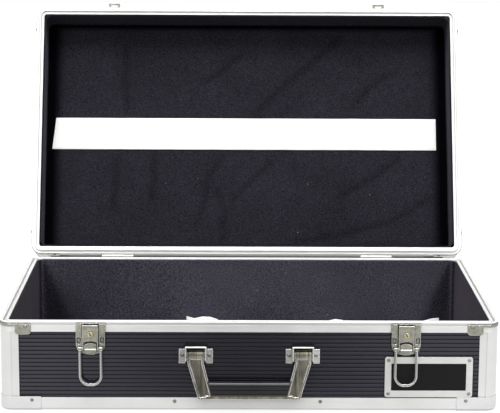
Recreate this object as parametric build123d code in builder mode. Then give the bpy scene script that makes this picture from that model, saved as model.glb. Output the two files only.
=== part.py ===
"""A guitar pedal case: ribbed panels in aluminium extrusions, two key latches, a handle and a hinged lid.

Millimetres. X runs to the right, Y to the back and Z up. The origin lies on the floor, under the middle of
the base. The lid's pieces are drawn on the closed case, and the hinges swing them open.
"""

import os
from math import cos, radians, sin, sqrt, tan

from build123d import *

os.makedirs("parts", exist_ok=True)

# The case
case_width = 600.0  # over the extrusions
case_depth = 356.0
base_height = 110.0  # from the floor to the top of the base's rim
closed_height = 165.0  # from the floor to the top of the closed lid
joint_gap = 0.4  # between the two rims when the case is closed
corner_radius = 14.0  # upright corners, seen from above
lid_open = 111.6  # degrees from closed to where the hinges stop
lid_depth = closed_height - base_height - joint_gap

# Clearances
seat_gap = 0.1  # between pieces of one body that are laid side by side
running_gap = 0.06  # round a shaft in its bore, on the radius
side_gap = 0.3  # between pieces that move past each other
cut_over = 1.0  # how far a cutting tool runs past the face that it cuts

# Extrusions, whose outer face is the case's outer face
wall = 1.2  # of every extrusion
rim_width = 10.0
rim_flange = 12.2  # height of the band on the outside
rim_head = 6.0  # height of the solid head between the flanges
rim_step_top = 1.1  # the shallow recess that runs along the band
rim_step_height = 2.9
rim_step_depth = 0.8
tongue_width = 1.6
tongue_height = 2.5
groove_side_gap = 0.7  # lets the lid's back tongue swing out of its groove
groove_depth = 3.0
edge_flange = 15.3  # legs of the extrusion along the closed end of each shell
edge_round = 3.0
post_flange = 23.0  # from the corner to the end of the upright post's flange
post_flange_step = 0.5
mitre_gap = 0.1

# Panels and lining
panel_thickness = 5.0
rib_pitch = 5.0
rib_groove = 1.8
rib_depth = 0.8
rib_slope = 25.0  # degrees, of the grooves' sides
lining_thickness = 2.4
lining_radius = 16.0  # the foam is bent round the corners
lining_drop = 1.0  # from the rim's top to the lining's edge

# Pressed corner pieces
cap_sheet = 0.7
cap_height = 17.2
cap_leg = 49.0
cap_foot = 20.0  # width of the part under the case
brace_sheet = 0.8
brace_leg = 38.0
brace_top = 2.5  # from the rim's top to the brace's upper edge
brace_band = 5.6  # from the rim's top to the band's lower edge
brace_tab_width = 19.0
brace_tab_height = 15.5
brace_tab_round = 4.0

# Rivets
rivet_radius = 2.2
rivet_head = 0.9
rivet_taper = 35.0
brace_rivet = (31.5, 5.7)  # from the corner, and below the rim's top
cap_rivet = (38.0, 13.0)  # from the corner, and above the floor
edge_rivet_height = 11.5
edge_rivets_long = (-90.0, 86.0)
edge_rivets_short = (0.0,)

# Latches, whose drops are measured down from the top of the base's rim
latch_from_side = (109.6, 112.0)  # the left latch's middle and the right one's, from the case's sides
latch_half = 17.4
latch_top_drop = 1.3
latch_waist_drop = 25.0
latch_toe_drop = 37.5
latch_tip_drop = 40.0
latch_toe_half = 10.0
latch_shoulder = 1.6  # how far the waist's arc swells past its chord
latch_sheet = 1.2
column_inner = 10.2
column_depth = 4.0
pocket = (5.2, 9.0, 2.0)  # width, height and depth of the recess round each column's rivet
latch_pin_out = 7.0  # from the case's face to the pin's axis
latch_pin_drop = 31.5
latch_pin_radius = 1.2
latch_pin_head = 0.8
latch_pin_head_radius = 1.9
ear_inner = 9.6
ear_thickness = 1.0
ear_radius = 2.5
lens_half = 7.9
lens_lift = 0.8  # of the lens's middle above the pin
lens_height = 4.3  # from the lens's middle to its upper corners, and to its lower ones
lens_crown = 2.4
lens_out = 8.3
lever_half = 9.3
lever_sheet = 1.5
lever_top_drop = 1.8
lever_flange = 1.1
lever_flange_depth = 3.0
lever_flange_drop = 6.0
lever_foot_drop = 23.7
lever_arch = 2.4
lever_eye = 2.4
lever_curl = 1.3
key_drop = 13.2
key_radius = 3.4
key_proud = 0.9
key_slot = (1.3, 4.8, 1.8)  # width, length and depth
key_slot_turn = 30.0
cam_length = 11.8
cam_width = 4.0
cam_thickness = 1.2
cam_behind = 4.3  # from the lever's back to the cam's front
latch_rivet = (13.9, 21.5)  # beside the middle, and down from the rim's top
latch_rivet_head = 0.7

# Wire loops of the latches
wire_radius = 1.7
loop_half = 12.6
loop_length = 44.6  # from the pin to the middle of the wire at the far end
loop_bend = 82.0  # degrees of each large corner bend
loop_kink_bend = 42.0  # degrees of the small bend on each side of the kink
loop_kink_side = 1.9
loop_kink = 1.9
loop_eye = 2.6
loop_eye_half = 1.5  # half the thickness of the flattened eye

# Catches on the lid
catch_half = 8.25
catch_sheet = 1.2
catch_out = 8.6
catch_foot = 0.8  # above the joint
catch_height = 8.3  # from the base's rim to the top of the hook's shelf
catch_window_half = 4.6
catch_window = (1.6, 5.8)  # from the case's face
catch_lip_half = 5.0
catch_lip_height = 1.4
catch_rivet = (4.6, 4.1)  # beside the middle, and above the base's rim

# Handle
bracket_centre = 64.25
bracket_half = 20.4
bracket_low = 59.2
bracket_high = 77.0
bracket_sheet = 1.5
bracket_notch = 4.1  # height of the cut-out between the plate's two lugs
housing_half = 12.75
housing_low = 64.0
housing_top = 82.6
housing_out = 12.0
handle_pin_out = 6.0
handle_pin_height = 72.0
handle_pin_radius = 1.8
handle_eye = 5.0
arm_bend_height = 60.5
arm_half = 9.7
arm_low = 16.4
arm_foot = (43.8, 61.3)  # inner and outer edge of the arm's lower end, from the middle of the case
arm_thickness = 6.0
arm_rim = 2.6
arm_hollow = 1.4
arm_hollow_top = 66.0
bar_height = 4.3
grip_height = 18.0
grip_depth = 13.5
grip_out = 2.0  # from the case's face to the back of the grip
grip_round = 5.0
flutes = 3  # grooves along the grip's front
flute_pitch = 4.8
flute_width = 1.6
flute_depth = 0.7
bracket_rivet = (16.4, 69.0)

# Hinges
hinge_from_side = 120.0  # from the case's side to the hinge's middle
hinge_width = 43.0
hinge_out = 4.0  # from the case's back to the axis
hinge_sheet = 1.2
knuckle_radius = 2.6
knuckle_middle = 21.2
hinge_pin_radius = 1.5
leaf_height = 11.4
leaf_web = 1.4
stop_width = 8.0
stop_reach = 8.0  # from the axis to where the lid's leaf meets the stop
stop_gap = 0.3
stop_foot = (11.0, 6.5)  # down from the rim's top, where the stop leaves the base's leaf
stop_tip = 2.2
hinge_rivet = 14.0

# Badge
badge_centre = (83.5, 42.4)  # from the case's right side, and above the floor
badge_size = (106.0, 50.2)
badge_window = (90.5, 33.8)
badge_thickness = 1.5
badge_round = 3.0
insert_thickness = 1.0
badge_rivet = (48.7, 20.9)

# Strips and feet
strip_thickness = 1.2
lid_strip_ends = (24.5, 28.7)  # from the case's left side and from its right side
lid_strip_edges = (-26.5, 19.5)  # front and back edge, from the middle of the closed lid
floor_strip_places = (362.0, 188.0, 54.0)  # from the case's right side
floor_strip_width = 44.0
floor_strip_front = 28.0  # from the case's front to the strips' front ends
floor_strip_climb = 19.0  # how far the strips run up the back wall
foot_from_side = 65.0
foot_from_edge = 30.0  # from the floor to the lower row, and from the rim's top to the upper one
foot_radius = 9.0
foot_height = 8.0
foot_taper = 8.0

# Worked out from the sizes above
half_width = case_width / 2
half_depth = case_depth / 2
panel_back = wall + panel_thickness  # from the case's face
core_top = cap_sheet + wall + panel_thickness
edge_top = cap_sheet + edge_flange
floor_top = core_top + lining_thickness
groove_width = tongue_width + 2 * groove_side_gap
latch_top = base_height - latch_top_drop
latch_waist = base_height - latch_waist_drop
latch_toe = base_height - latch_toe_drop
latch_tip = base_height - latch_tip_drop
latch_pin_height = base_height - latch_pin_drop
lever_top = base_height - lever_top_drop
lever_foot = base_height - lever_foot_drop
key_height = base_height - key_drop
cam_corner = sqrt(cam_length**2 + (cam_width / 2) ** 2)  # from the key's axis
latch_places = {"left": latch_from_side[0] - half_width, "right": half_width - latch_from_side[1]}
bracket_places = {"left": -bracket_centre, "right": bracket_centre}
hinge_places = {"left": hinge_from_side - half_width, "right": half_width - hinge_from_side}
hinge_y = half_depth + hinge_out
hinge_z = base_height + joint_gap / 2
latch_pin_y = -half_depth - latch_pin_out
handle_pin_y = -half_depth - handle_pin_out
lever_face_out = latch_pin_out + lever_sheet
opened = Pos(0, hinge_y, hinge_z) * Rot(X=-lid_open) * Pos(0, -hinge_y, -hinge_z)
upturned = Pos(0, 0, closed_height) * Rot(X=180)  # a shell's own frame, on the closed lid
SIDES = ("front", "back", "left", "right")
ACROSS = {"front": "back", "back": "front", "left": "left", "right": "right"}


def save(piece, label, place=None):
    """Writes a finished piece, carried to its place where it is drawn somewhere else."""
    shape = piece.part if place is None else place * piece.part
    shape.label = label
    export_step(shape, f"parts/{label}.step")


def face(side, out=0.0, along=0.0):
    """The plane of one outer face of the case, seen from outside, with its own Y up."""
    if side == "front":
        return Plane(origin=(along, -half_depth - out, 0), x_dir=(1, 0, 0), z_dir=(0, -1, 0))
    if side == "back":
        return Plane(origin=(along, half_depth + out, 0), x_dir=(-1, 0, 0), z_dir=(0, 1, 0))
    if side == "left":
        return Plane(origin=(-half_width - out, along, 0), x_dir=(0, -1, 0), z_dir=(-1, 0, 0))
    return Plane(origin=(half_width + out, along, 0), x_dir=(0, 1, 0), z_dir=(1, 0, 0))


def section(x):
    """The plane across the case at x, with its own X to the back and its own Y up."""
    return Plane(origin=(x, 0, 0), x_dir=(0, 1, 0), z_dir=(1, 0, 0))


def rounded_plan(inset, mode=Mode.ADD):
    """The case's outline from above, drawn in by an inset, with its rounded corners."""
    width, depth = case_width - 2 * inset, case_depth - 2 * inset
    RectangleRounded(width, depth, max(corner_radius - inset, wall), mode=mode)


def ring(outer, inner, low, high, mode=Mode.ADD, leg=None, clear=None):
    """A band round the shell between two insets. With a leg, only its four corners stay."""
    with BuildSketch(Plane.XY.offset(low)) as band:
        rounded_plan(outer)
        rounded_plan(inner, Mode.SUBTRACT)
        if leg:
            Rectangle(case_width - 2 * leg, 2 * case_depth, mode=Mode.SUBTRACT)
            Rectangle(2 * case_width, case_depth - 2 * leg, mode=Mode.SUBTRACT)
        if clear:
            with GridLocations(case_width, case_depth, 2, 2):
                Rectangle(2 * clear, 2 * clear, mode=Mode.SUBTRACT)
    extrude(band.sketch, amount=high - low, mode=mode)


def keep_side(side, height):
    """Keeps one side of a ring, cut off at the mitres that run from the case's corners."""
    x, y = half_width + cut_over, half_depth + cut_over
    ridge = half_width - half_depth
    outlines = {
        "front": ((-x, -y), (x, -y), (ridge, 0), (-ridge, 0)),
        "back": ((-x, y), (-ridge, 0), (ridge, 0), (x, y)),
        "left": ((-x, -y), (-ridge, 0), (-x, y)),
        "right": ((x, -y), (x, y), (ridge, 0)),
    }
    with BuildSketch(Plane.XY.offset(-cut_over)) as wedge:
        with BuildLine():
            Polyline(*outlines[side], close=True)
        make_face()
    extrude(wedge.sketch, amount=height + rim_width, mode=Mode.INTERSECT)


def make_rim(side, height, with_tongue):
    """One mitred rim extrusion: a grooved or tongued head with a flange each side of the wall."""
    with BuildPart() as rim:
        ring(0, rim_width, height - rim_head, height)
        ring(0, wall, height - rim_flange, height - rim_head)
        ring(rim_width - wall, rim_width, height - rim_flange, height - rim_head)
        step_top = height - rim_step_top
        ring(-cut_over, rim_step_depth, step_top - rim_step_height, step_top, Mode.SUBTRACT)
        middle = rim_width / 2
        if with_tongue:
            reach = tongue_width / 2
            ring(middle - reach, middle + reach, height, height + tongue_height)
        else:
            reach = groove_width / 2
            ring(middle - reach, middle + reach, height - groove_depth, height, Mode.SUBTRACT)
        keep_side(side, height)
    return rim


def make_posts(height):
    """Four upright corner posts, rounded outside, with a stepped flange over each panel's end."""
    with BuildPart() as posts:
        ring(wall, panel_back, core_top, height - rim_head, leg=corner_radius)
        ring(0, wall, edge_top, height - rim_flange, leg=corner_radius)
        ring(post_flange_step, wall, edge_top, height - rim_flange, leg=post_flange)
    return posts


def make_edges():
    """The extrusions round the closed end of a shell, with open mitres under the corner caps."""
    with BuildPart() as edges:
        ring(0, panel_back, cap_sheet, core_top)
        ring(0, wall, cap_sheet, edge_top)
        ring(0, edge_flange, cap_sheet, cap_sheet + wall)
        fillet(edges.faces().sort_by(Axis.Z)[0].outer_wire().edges(), radius=edge_round)
        for x in (-1, 1):
            for y in (-1, 1):
                with Locations((x * half_width, y * half_depth, edge_top / 2)):
                    Box(
                        6 * edge_flange, mitre_gap, 2 * edge_flange,
                        rotation=(0, 0, 45 * x * y), mode=Mode.SUBTRACT,
                    )
    return edges


def make_caps():
    """Four pressed caps that wrap the corners at a shell's closed end."""
    with BuildPart() as hollow:
        with BuildSketch(Plane.XY.offset(cap_sheet)):
            rounded_plan(0)
        extrude(amount=cap_height)
        fillet(hollow.faces().sort_by(Axis.Z)[0].edges(), radius=edge_round)
    with BuildPart() as caps:
        with BuildSketch():
            rounded_plan(-cap_sheet)
        extrude(amount=cap_height)
        fillet(caps.faces().sort_by(Axis.Z)[0].edges(), radius=edge_round + cap_sheet)
        add(hollow.part, mode=Mode.SUBTRACT)
        with BuildSketch():
            rounded_plan(cap_foot)
        extrude(amount=cap_height, mode=Mode.SUBTRACT)
        with BuildSketch():
            Rectangle(case_width - 2 * cap_leg, 2 * case_depth)
            Rectangle(2 * case_width, case_depth - 2 * cap_leg)
        extrude(amount=cap_height, mode=Mode.SUBTRACT)
    return caps


def make_braces(height):
    """Four pressed braces round the rim's corners, each a band with a tab at both ends."""
    tab_inner = brace_leg - brace_tab_width
    with BuildPart() as braces:
        ring(
            -brace_sheet, 0, height - brace_tab_height, height - brace_band,
            leg=brace_leg, clear=tab_inner,
        )
        low = braces.edges().group_by(Axis.Z)[0]
        fillet(low.filter_by(lambda e: e.length < brace_sheet + cut_over / 10), brace_tab_round)
        ring(-brace_sheet, 0, height - brace_band, height - brace_top, leg=brace_leg)
    return braces


def make_wall_panel(side, height):
    """One ribbed wall panel, between two posts and under the rim."""
    run = case_width if side in ("front", "back") else case_depth
    length = run - 2 * corner_radius
    low, high = core_top, height - rim_head
    shown = height - rim_flange - edge_top
    grooves = int(shown / rib_pitch)
    with BuildPart() as panel:
        with BuildSketch(face(side, -panel_back)):
            with Locations((0, (low + high) / 2)):
                Rectangle(length, high - low)
        extrude(amount=panel_thickness)
        with BuildSketch(face(side, -wall)):
            with Locations((0, edge_top + shown / 2)):
                with GridLocations(0, rib_pitch, 1, grooves):
                    Rectangle(length, rib_groove)
        extrude(amount=-rib_depth, taper=rib_slope, mode=Mode.SUBTRACT)
    return panel


def make_end_panel():
    """The ribbed panel that closes a shell, held by the edge extrusions."""
    grooves = int((case_depth - 2 * edge_flange) / rib_pitch)
    with BuildPart() as panel:
        with BuildSketch(Plane.XY.offset(cap_sheet + wall)):
            rounded_plan(panel_back)
        extrude(amount=panel_thickness)
        with BuildSketch(Plane.XY.offset(cap_sheet + wall)):
            with GridLocations(0, rib_pitch, 1, grooves):
                Rectangle(case_width, rib_groove)
        extrude(amount=rib_depth, taper=rib_slope, mode=Mode.SUBTRACT)
    return panel


def make_lining(height):
    """A thin fabric-faced foam tray, thicker in its corners, slotted over the rim's inner flange."""
    inner_face = rim_width + lining_thickness
    flange_back = rim_width - wall - seat_gap
    with BuildPart() as lining:
        with BuildSketch(Plane.XY.offset(core_top)):
            rounded_plan(panel_back)
        extrude(amount=height - lining_drop - core_top)
        with BuildSketch(Plane.XY.offset(floor_top)):
            RectangleRounded(
                case_width - 2 * inner_face, case_depth - 2 * inner_face, lining_radius
            )
        extrude(amount=height - floor_top, mode=Mode.SUBTRACT)
        tuck = height - rim_flange - seat_gap
        ring(flange_back, rim_width + seat_gap, tuck, height, Mode.SUBTRACT)
        ring(0, rim_width + seat_gap, height - rim_head - seat_gap, height, Mode.SUBTRACT)
    return lining


def rivets(side, out, spots, along=0.0, head=rivet_head):
    """Rivet heads standing on a face of the case, or on what lies that far out from it."""
    crown = rivet_radius - head * tan(radians(rivet_taper))
    with Locations(face(side, out, along)):
        with Locations(*spots):
            Cone(rivet_radius, crown, head, align=(Align.CENTER, Align.CENTER, Align.MIN))


def shell_rivets(height):
    """The rivets that hold a shell's corner pieces and edge extrusions."""
    for side in SIDES:
        half = half_width if side in ("front", "back") else half_depth
        run = edge_rivets_long if side in ("front", "back") else edge_rivets_short
        brace_x, cap_x = half - brace_rivet[0], half - cap_rivet[0]
        rivets(side, brace_sheet, [(s * brace_x, height - brace_rivet[1]) for s in (-1, 1)])
        rivets(side, cap_sheet, [(s * cap_x, cap_rivet[1]) for s in (-1, 1)])
        rivets(side, 0, [(x, edge_rivet_height) for x in run])


def make_shell(name, height, with_tongue, place, names):
    """Every piece of the base or the lid that belongs to its shell."""
    for side in SIDES:
        save(make_wall_panel(side, height), f"{name}_{names[side]}_panel", place)
        save(make_rim(side, height, with_tongue), f"{name}_rim_{names[side]}", place)
    save(make_posts(height), f"{name}_corner_posts", place)
    save(make_edges(), f"{name}_edge_extrusions", place)
    save(make_caps(), f"{name}_corner_caps", place)
    save(make_braces(height), f"{name}_corner_braces", place)
    save(make_lining(height), f"{name}_lining", place)
    with BuildPart() as heads:
        shell_rivets(height)
    save(heads, f"{name}_rivets", place)


def latch_outline():
    """The shield-shaped outline of a latch's base plate, on the case's front."""
    with BuildLine() as shield:
        left, right = -latch_half, latch_half
        Line((left, latch_top), (right, latch_top))
        Line((right, latch_top), (right, latch_waist))
        middle = (
            (latch_half + latch_toe_half) / 2 + latch_shoulder,
            (latch_waist + latch_toe) / 2 - latch_shoulder,
        )
        ThreePointArc((right, latch_waist), middle, (latch_toe_half, latch_toe))
        ThreePointArc((latch_toe_half, latch_toe), (0, latch_tip), (-latch_toe_half, latch_toe))
        ThreePointArc((-latch_toe_half, latch_toe), (-middle[0], middle[1]), (left, latch_waist))
        Line((left, latch_waist), (left, latch_top))
    make_face(shield.edges())


def bore(x, length, y, z, radius):
    """Cuts a round hole along X, from x on."""
    with BuildSketch(section(x)) as hole:
        with Locations((y, z)):
            Circle(radius)
    extrude(hole.sketch, amount=length, mode=Mode.SUBTRACT)


def make_latch_plate(x):
    """The base plate: a sheet with raised columns, two ears for the pin and a domed lens between."""
    tall = latch_top - latch_tip
    with BuildPart() as plate:
        with BuildSketch(face("front", 0, x)):
            latch_outline()
        extrude(amount=latch_sheet)
        with BuildSketch(face("front", 0, x)):
            latch_outline()
            with Locations((0, base_height - rim_flange - seat_gap)):
                Rectangle(3 * latch_half, tall, align=(Align.CENTER, Align.MIN), mode=Mode.SUBTRACT)
        extrude(amount=-wall)
        with BuildSketch(face("front", latch_sheet, x)):
            latch_outline()
            with Locations((0, latch_tip)):
                Rectangle(
                    2 * column_inner, 2 * tall,
                    align=(Align.CENTER, Align.CENTER), mode=Mode.SUBTRACT,
                )
        extrude(amount=column_depth - latch_sheet)
        pocket_width, pocket_height, pocket_depth = pocket
        rivet_x, rivet_drop = latch_rivet
        with BuildSketch(face("front", column_depth, x)):
            with Locations((0, base_height - rivet_drop)):
                with GridLocations(2 * rivet_x, 0, 2, 1):
                    SlotOverall(pocket_height, pocket_width, rotation=90)
        extrude(amount=-pocket_depth, mode=Mode.SUBTRACT)
        with BuildSketch(face("front", latch_sheet, x)):
            with BuildLine():
                upper = latch_pin_height + lens_lift + lens_height
                lower = latch_pin_height + lens_lift - lens_height
                ThreePointArc((-lens_half, upper), (0, upper + lens_crown), (lens_half, upper))
                Line((lens_half, upper), (lens_half, lower))
                ThreePointArc((lens_half, lower), (0, lower - lens_crown), (-lens_half, lower))
                Line((-lens_half, lower), (-lens_half, upper))
            make_face()
        extrude(amount=lens_out - latch_sheet)
        fillet(plate.faces().sort_by(Axis.Y)[0].edges(), radius=wall)
        for inner in (-ear_inner - ear_thickness, ear_inner):
            with BuildSketch(section(x + inner)):
                with Locations((latch_pin_y, latch_pin_height)):
                    Circle(ear_radius)
                    Rectangle(
                        latch_pin_out - latch_sheet, 2 * ear_radius,
                        align=(Align.MIN, Align.CENTER),
                    )
            extrude(amount=ear_thickness)
        bore(
            x - latch_half, 2 * latch_half, latch_pin_y, latch_pin_height,
            latch_pin_radius + running_gap,
        )
        # The slot takes the cam as it swings into the column, and lies behind the column's face.
        slot_back = latch_pin_out - cam_behind - cam_thickness - side_gap
        slot_low = key_height - cam_width / 2 - side_gap
        slot_high = key_height + sqrt(cam_corner**2 - column_inner**2) + side_gap
        with BuildSketch(face("front", slot_back, x)):
            with Locations((lever_half, slot_low)):
                Rectangle(
                    cam_corner + side_gap - lever_half, slot_high - slot_low,
                    align=(Align.MIN, Align.MIN),
                )
        extrude(amount=cam_thickness + 2 * side_gap, mode=Mode.SUBTRACT)
    return plate


def make_latch_pin(x):
    """One latch's pivot pin, with a head outside each eye of the loop."""
    shank = loop_half + wire_radius + side_gap / 2
    with BuildSketch(section(x - shank)) as body:
        with Locations((latch_pin_y, latch_pin_height)):
            Circle(latch_pin_radius)
    extrude(body.sketch, amount=2 * shank)
    for end in (x - shank - latch_pin_head, x + shank):
        with BuildSketch(section(end)) as head:
            with Locations((latch_pin_y, latch_pin_height)):
                Circle(latch_pin_head_radius)
        extrude(head.sketch, amount=latch_pin_head)


def make_lever(x):
    """The lever: a flanged plate with an arched foot, two eyes on the pin and a curled lip on top."""
    with BuildPart() as lever:
        with BuildSketch(face("front", latch_pin_out, x)):
            with BuildLine():
                Line((-lever_half, lever_foot), (-lever_half, lever_top))
                Line((-lever_half, lever_top), (lever_half, lever_top))
                Line((lever_half, lever_top), (lever_half, lever_foot))
                ThreePointArc(
                    (lever_half, lever_foot), (0, lever_foot + lever_arch), (-lever_half, lever_foot)
                )
            make_face()
        extrude(amount=lever_sheet)
        front_y = latch_pin_y - lever_sheet
        back_y = latch_pin_y + lever_flange_depth
        for inner in (-lever_half, lever_half - lever_flange):
            with BuildSketch(section(x + inner)):
                with Locations((latch_pin_y, latch_pin_height)):
                    Circle(lever_eye)
                    Rectangle(
                        2 * lever_sheet, lever_foot + wall - latch_pin_height,
                        align=(Align.CENTER, Align.MIN),
                    )
                with Locations((front_y, lever_foot)):
                    Rectangle(
                        back_y - front_y, lever_foot_drop - lever_flange_drop,
                        align=(Align.MIN, Align.MIN),
                    )
            extrude(amount=lever_flange)
        with BuildSketch(section(x - lever_half + seat_gap)):
            with Locations((front_y, lever_top - lever_curl)):
                Circle(lever_curl)
        extrude(amount=2 * (lever_half - seat_gap))
        bore(
            x - latch_half, 2 * latch_half, latch_pin_y, latch_pin_height,
            latch_pin_radius + running_gap,
        )
        with BuildSketch(face("front", latch_pin_out - cut_over, x)):
            with Locations((0, key_height)):
                Circle(key_radius + running_gap)
        extrude(amount=lever_sheet + 2 * cut_over, mode=Mode.SUBTRACT)
    return lever


def make_key_cylinder(x):
    """The brass lock cylinder that turns in the lever, with its keyway."""
    back = latch_pin_out - cam_behind
    front = lever_face_out + key_proud
    width, length, depth = key_slot
    with BuildPart() as key:
        with BuildSketch(face("front", back, x)):
            with Locations((0, key_height)):
                Circle(key_radius)
        extrude(amount=front - back)
        with BuildSketch(face("front", front, x)):
            with Locations((0, key_height)):
                Rectangle(width, length, rotation=key_slot_turn)
        extrude(amount=-depth, mode=Mode.SUBTRACT)
    return key


def make_cam(x):
    """The locking cam on the cylinder's back end: a bar that turns into the column's slot."""
    with BuildPart() as cam:
        with BuildSketch(face("front", latch_pin_out - cam_behind - cam_thickness, x)):
            with Locations((0, key_height)):
                Circle(key_radius)
                Rectangle(cam_width, cam_length, align=(Align.CENTER, Align.MIN))
        extrude(amount=cam_thickness)
    return cam


def make_loop(x):
    """The wire loop that hangs from the pin, bent round a small kink in the middle of its end."""
    turn = 180 + loop_bend
    kink_turn = turn + loop_kink_bend
    side, kink = loop_kink_side, loop_kink
    far = (side + kink) * cos(radians(kink_turn))
    # The large bends' radius brings the kink to the middle of the loop.
    bend = (loop_half + side * cos(radians(turn)) - far) / (1 + cos(radians(turn)))
    drop = side - (bend - side) * sin(radians(turn))
    bend_z = latch_pin_height - loop_length + drop
    side_x = -loop_half + bend + (bend - side) * cos(radians(turn))
    side_z = bend_z + (bend - side) * sin(radians(turn))
    kink_z = side_z + (side + kink) * sin(radians(kink_turn))
    bend_x = -loop_half + bend
    with BuildPart() as loop:
        with BuildLine(face("front", latch_pin_out, x)):
            Line((-loop_half, latch_pin_height - latch_pin_radius - wall), (-loop_half, bend_z))
            CenterArc((bend_x, bend_z), bend, 180, loop_bend)
            CenterArc((side_x, side_z), side, turn, loop_kink_bend)
            CenterArc((0, kink_z), kink, kink_turn - 180, -2 * (kink_turn - 270))
            CenterArc((-side_x, side_z), side, 180 - kink_turn, loop_kink_bend)
            CenterArc((-bend_x, bend_z), bend, -loop_bend, loop_bend)
            Line((loop_half, bend_z), (loop_half, latch_pin_height - latch_pin_radius - wall))
        start = (x - loop_half, latch_pin_y, latch_pin_height - latch_pin_radius - wall)
        with BuildSketch(Plane(origin=start, x_dir=(1, 0, 0), z_dir=(0, 0, -1))):
            Circle(wire_radius)
        sweep()
        for middle in (-loop_half, loop_half):
            with BuildSketch(section(x + middle - loop_eye_half)):
                with Locations((latch_pin_y, latch_pin_height)):
                    Circle(loop_eye)
            extrude(amount=2 * loop_eye_half)
        bore(
            x - latch_half, 2 * latch_half, latch_pin_y, latch_pin_height,
            latch_pin_radius + running_gap,
        )
    return loop


def make_catch(x):
    """The lid's catch: a riveted foot, a shelf with a window and a lip that holds the loop's kink."""
    shelf = base_height + catch_height - catch_sheet
    with BuildPart() as catch:
        with BuildSketch(face("front", 0, x)):
            with Locations((0, hinge_z + catch_foot)):
                Rectangle(
                    2 * catch_half, shelf - hinge_z - catch_foot, align=(Align.CENTER, Align.MIN)
                )
        extrude(amount=catch_sheet)
        near, far = catch_window
        with BuildSketch(Plane.XY.offset(shelf)):
            with Locations((x, -half_depth - catch_out / 2)):
                Rectangle(2 * catch_half, catch_out)
            with Locations((x, -half_depth - (near + far) / 2)):
                Rectangle(2 * catch_window_half, far - near, mode=Mode.SUBTRACT)
        extrude(amount=catch_sheet)
        with BuildSketch(Plane.XY.offset(shelf)):
            with Locations((x, -half_depth - catch_out + catch_sheet / 2)):
                Rectangle(2 * catch_lip_half, catch_sheet)
        extrude(amount=catch_sheet + catch_lip_height)
    return catch


def make_bracket(x):
    """A handle bracket: a plate with two riveted lugs and a roofed housing that holds the pin."""
    tall = bracket_high - bracket_low
    plate_out = bracket_sheet - wall
    with BuildPart() as bracket:
        with BuildSketch(face("front", -wall, x)):
            with Locations((0, bracket_low)):
                Rectangle(2 * bracket_half, tall, align=(Align.CENTER, Align.MIN))
                Rectangle(
                    2 * housing_half, housing_top - bracket_low, align=(Align.CENTER, Align.MIN)
                )
                Rectangle(
                    2 * housing_half, 2 * bracket_notch,
                    align=(Align.CENTER, Align.CENTER), mode=Mode.SUBTRACT,
                )
        extrude(amount=bracket_sheet)
        with BuildSketch(section(x - housing_half)):
            with Locations((-half_depth - plate_out, housing_top)):
                Rectangle(
                    housing_out - plate_out, housing_top - housing_low,
                    align=(Align.MAX, Align.MAX),
                )
        extrude(amount=2 * housing_half)
        fillet(bracket.faces().sort_by(Axis.Y)[0].edges().filter_by(Axis.X), radius=bracket_sheet)
        with BuildSketch(section(x - housing_half + bracket_sheet)):
            with Locations((-half_depth - plate_out, housing_top - bracket_sheet)):
                Rectangle(2 * housing_out, 2 * housing_top, align=(Align.MAX, Align.MAX))
        extrude(amount=2 * (housing_half - bracket_sheet), mode=Mode.SUBTRACT)
        bore(
            x - bracket_half, 2 * bracket_half, handle_pin_y, handle_pin_height,
            handle_pin_radius + running_gap,
        )
    return bracket


def make_handle_frame():
    """The chrome frame: two hollow-faced arms with eyes at the top, joined by a bar under the grip."""
    eye_half = housing_half - bracket_sheet - side_gap
    inner, outer = bracket_centre - arm_half, bracket_centre + arm_half
    arm_out = handle_pin_out - arm_thickness / 2
    outline = (
        (inner, handle_pin_height), (outer, handle_pin_height), (outer, arm_bend_height),
        (arm_foot[1], arm_low), (arm_foot[0], arm_low), (inner, arm_bend_height),
    )
    with BuildPart() as frame:
        for side in (-1, 1):
            with BuildSketch(face("front", arm_out)):
                with BuildLine():
                    Polyline(*[(side * x, z) for x, z in outline], close=True)
                make_face()
            extrude(amount=arm_thickness)
            with BuildSketch(face("front", arm_out + arm_thickness)):
                with BuildLine():
                    Polyline(*[(side * x, z) for x, z in outline], close=True)
                make_face()
                offset(amount=-arm_rim, mode=Mode.REPLACE)
                with Locations((0, arm_hollow_top)):
                    Rectangle(
                        2 * outer, handle_pin_height,
                        align=(Align.CENTER, Align.MIN), mode=Mode.SUBTRACT,
                    )
            extrude(amount=-arm_hollow, mode=Mode.SUBTRACT)
            with BuildSketch(section(side * bracket_centre - eye_half)):
                with Locations((handle_pin_y, handle_pin_height)):
                    Circle(handle_eye)
            extrude(amount=2 * eye_half)
        with BuildSketch(face("front", arm_out)):
            with Locations((0, arm_low)):
                Rectangle(arm_foot[0] + arm_foot[1], bar_height, align=(Align.CENTER, Align.MIN))
        extrude(amount=arm_thickness)
        bore(-case_width / 2, case_width, handle_pin_y, handle_pin_height, handle_pin_radius + running_gap)
    return frame


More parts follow.
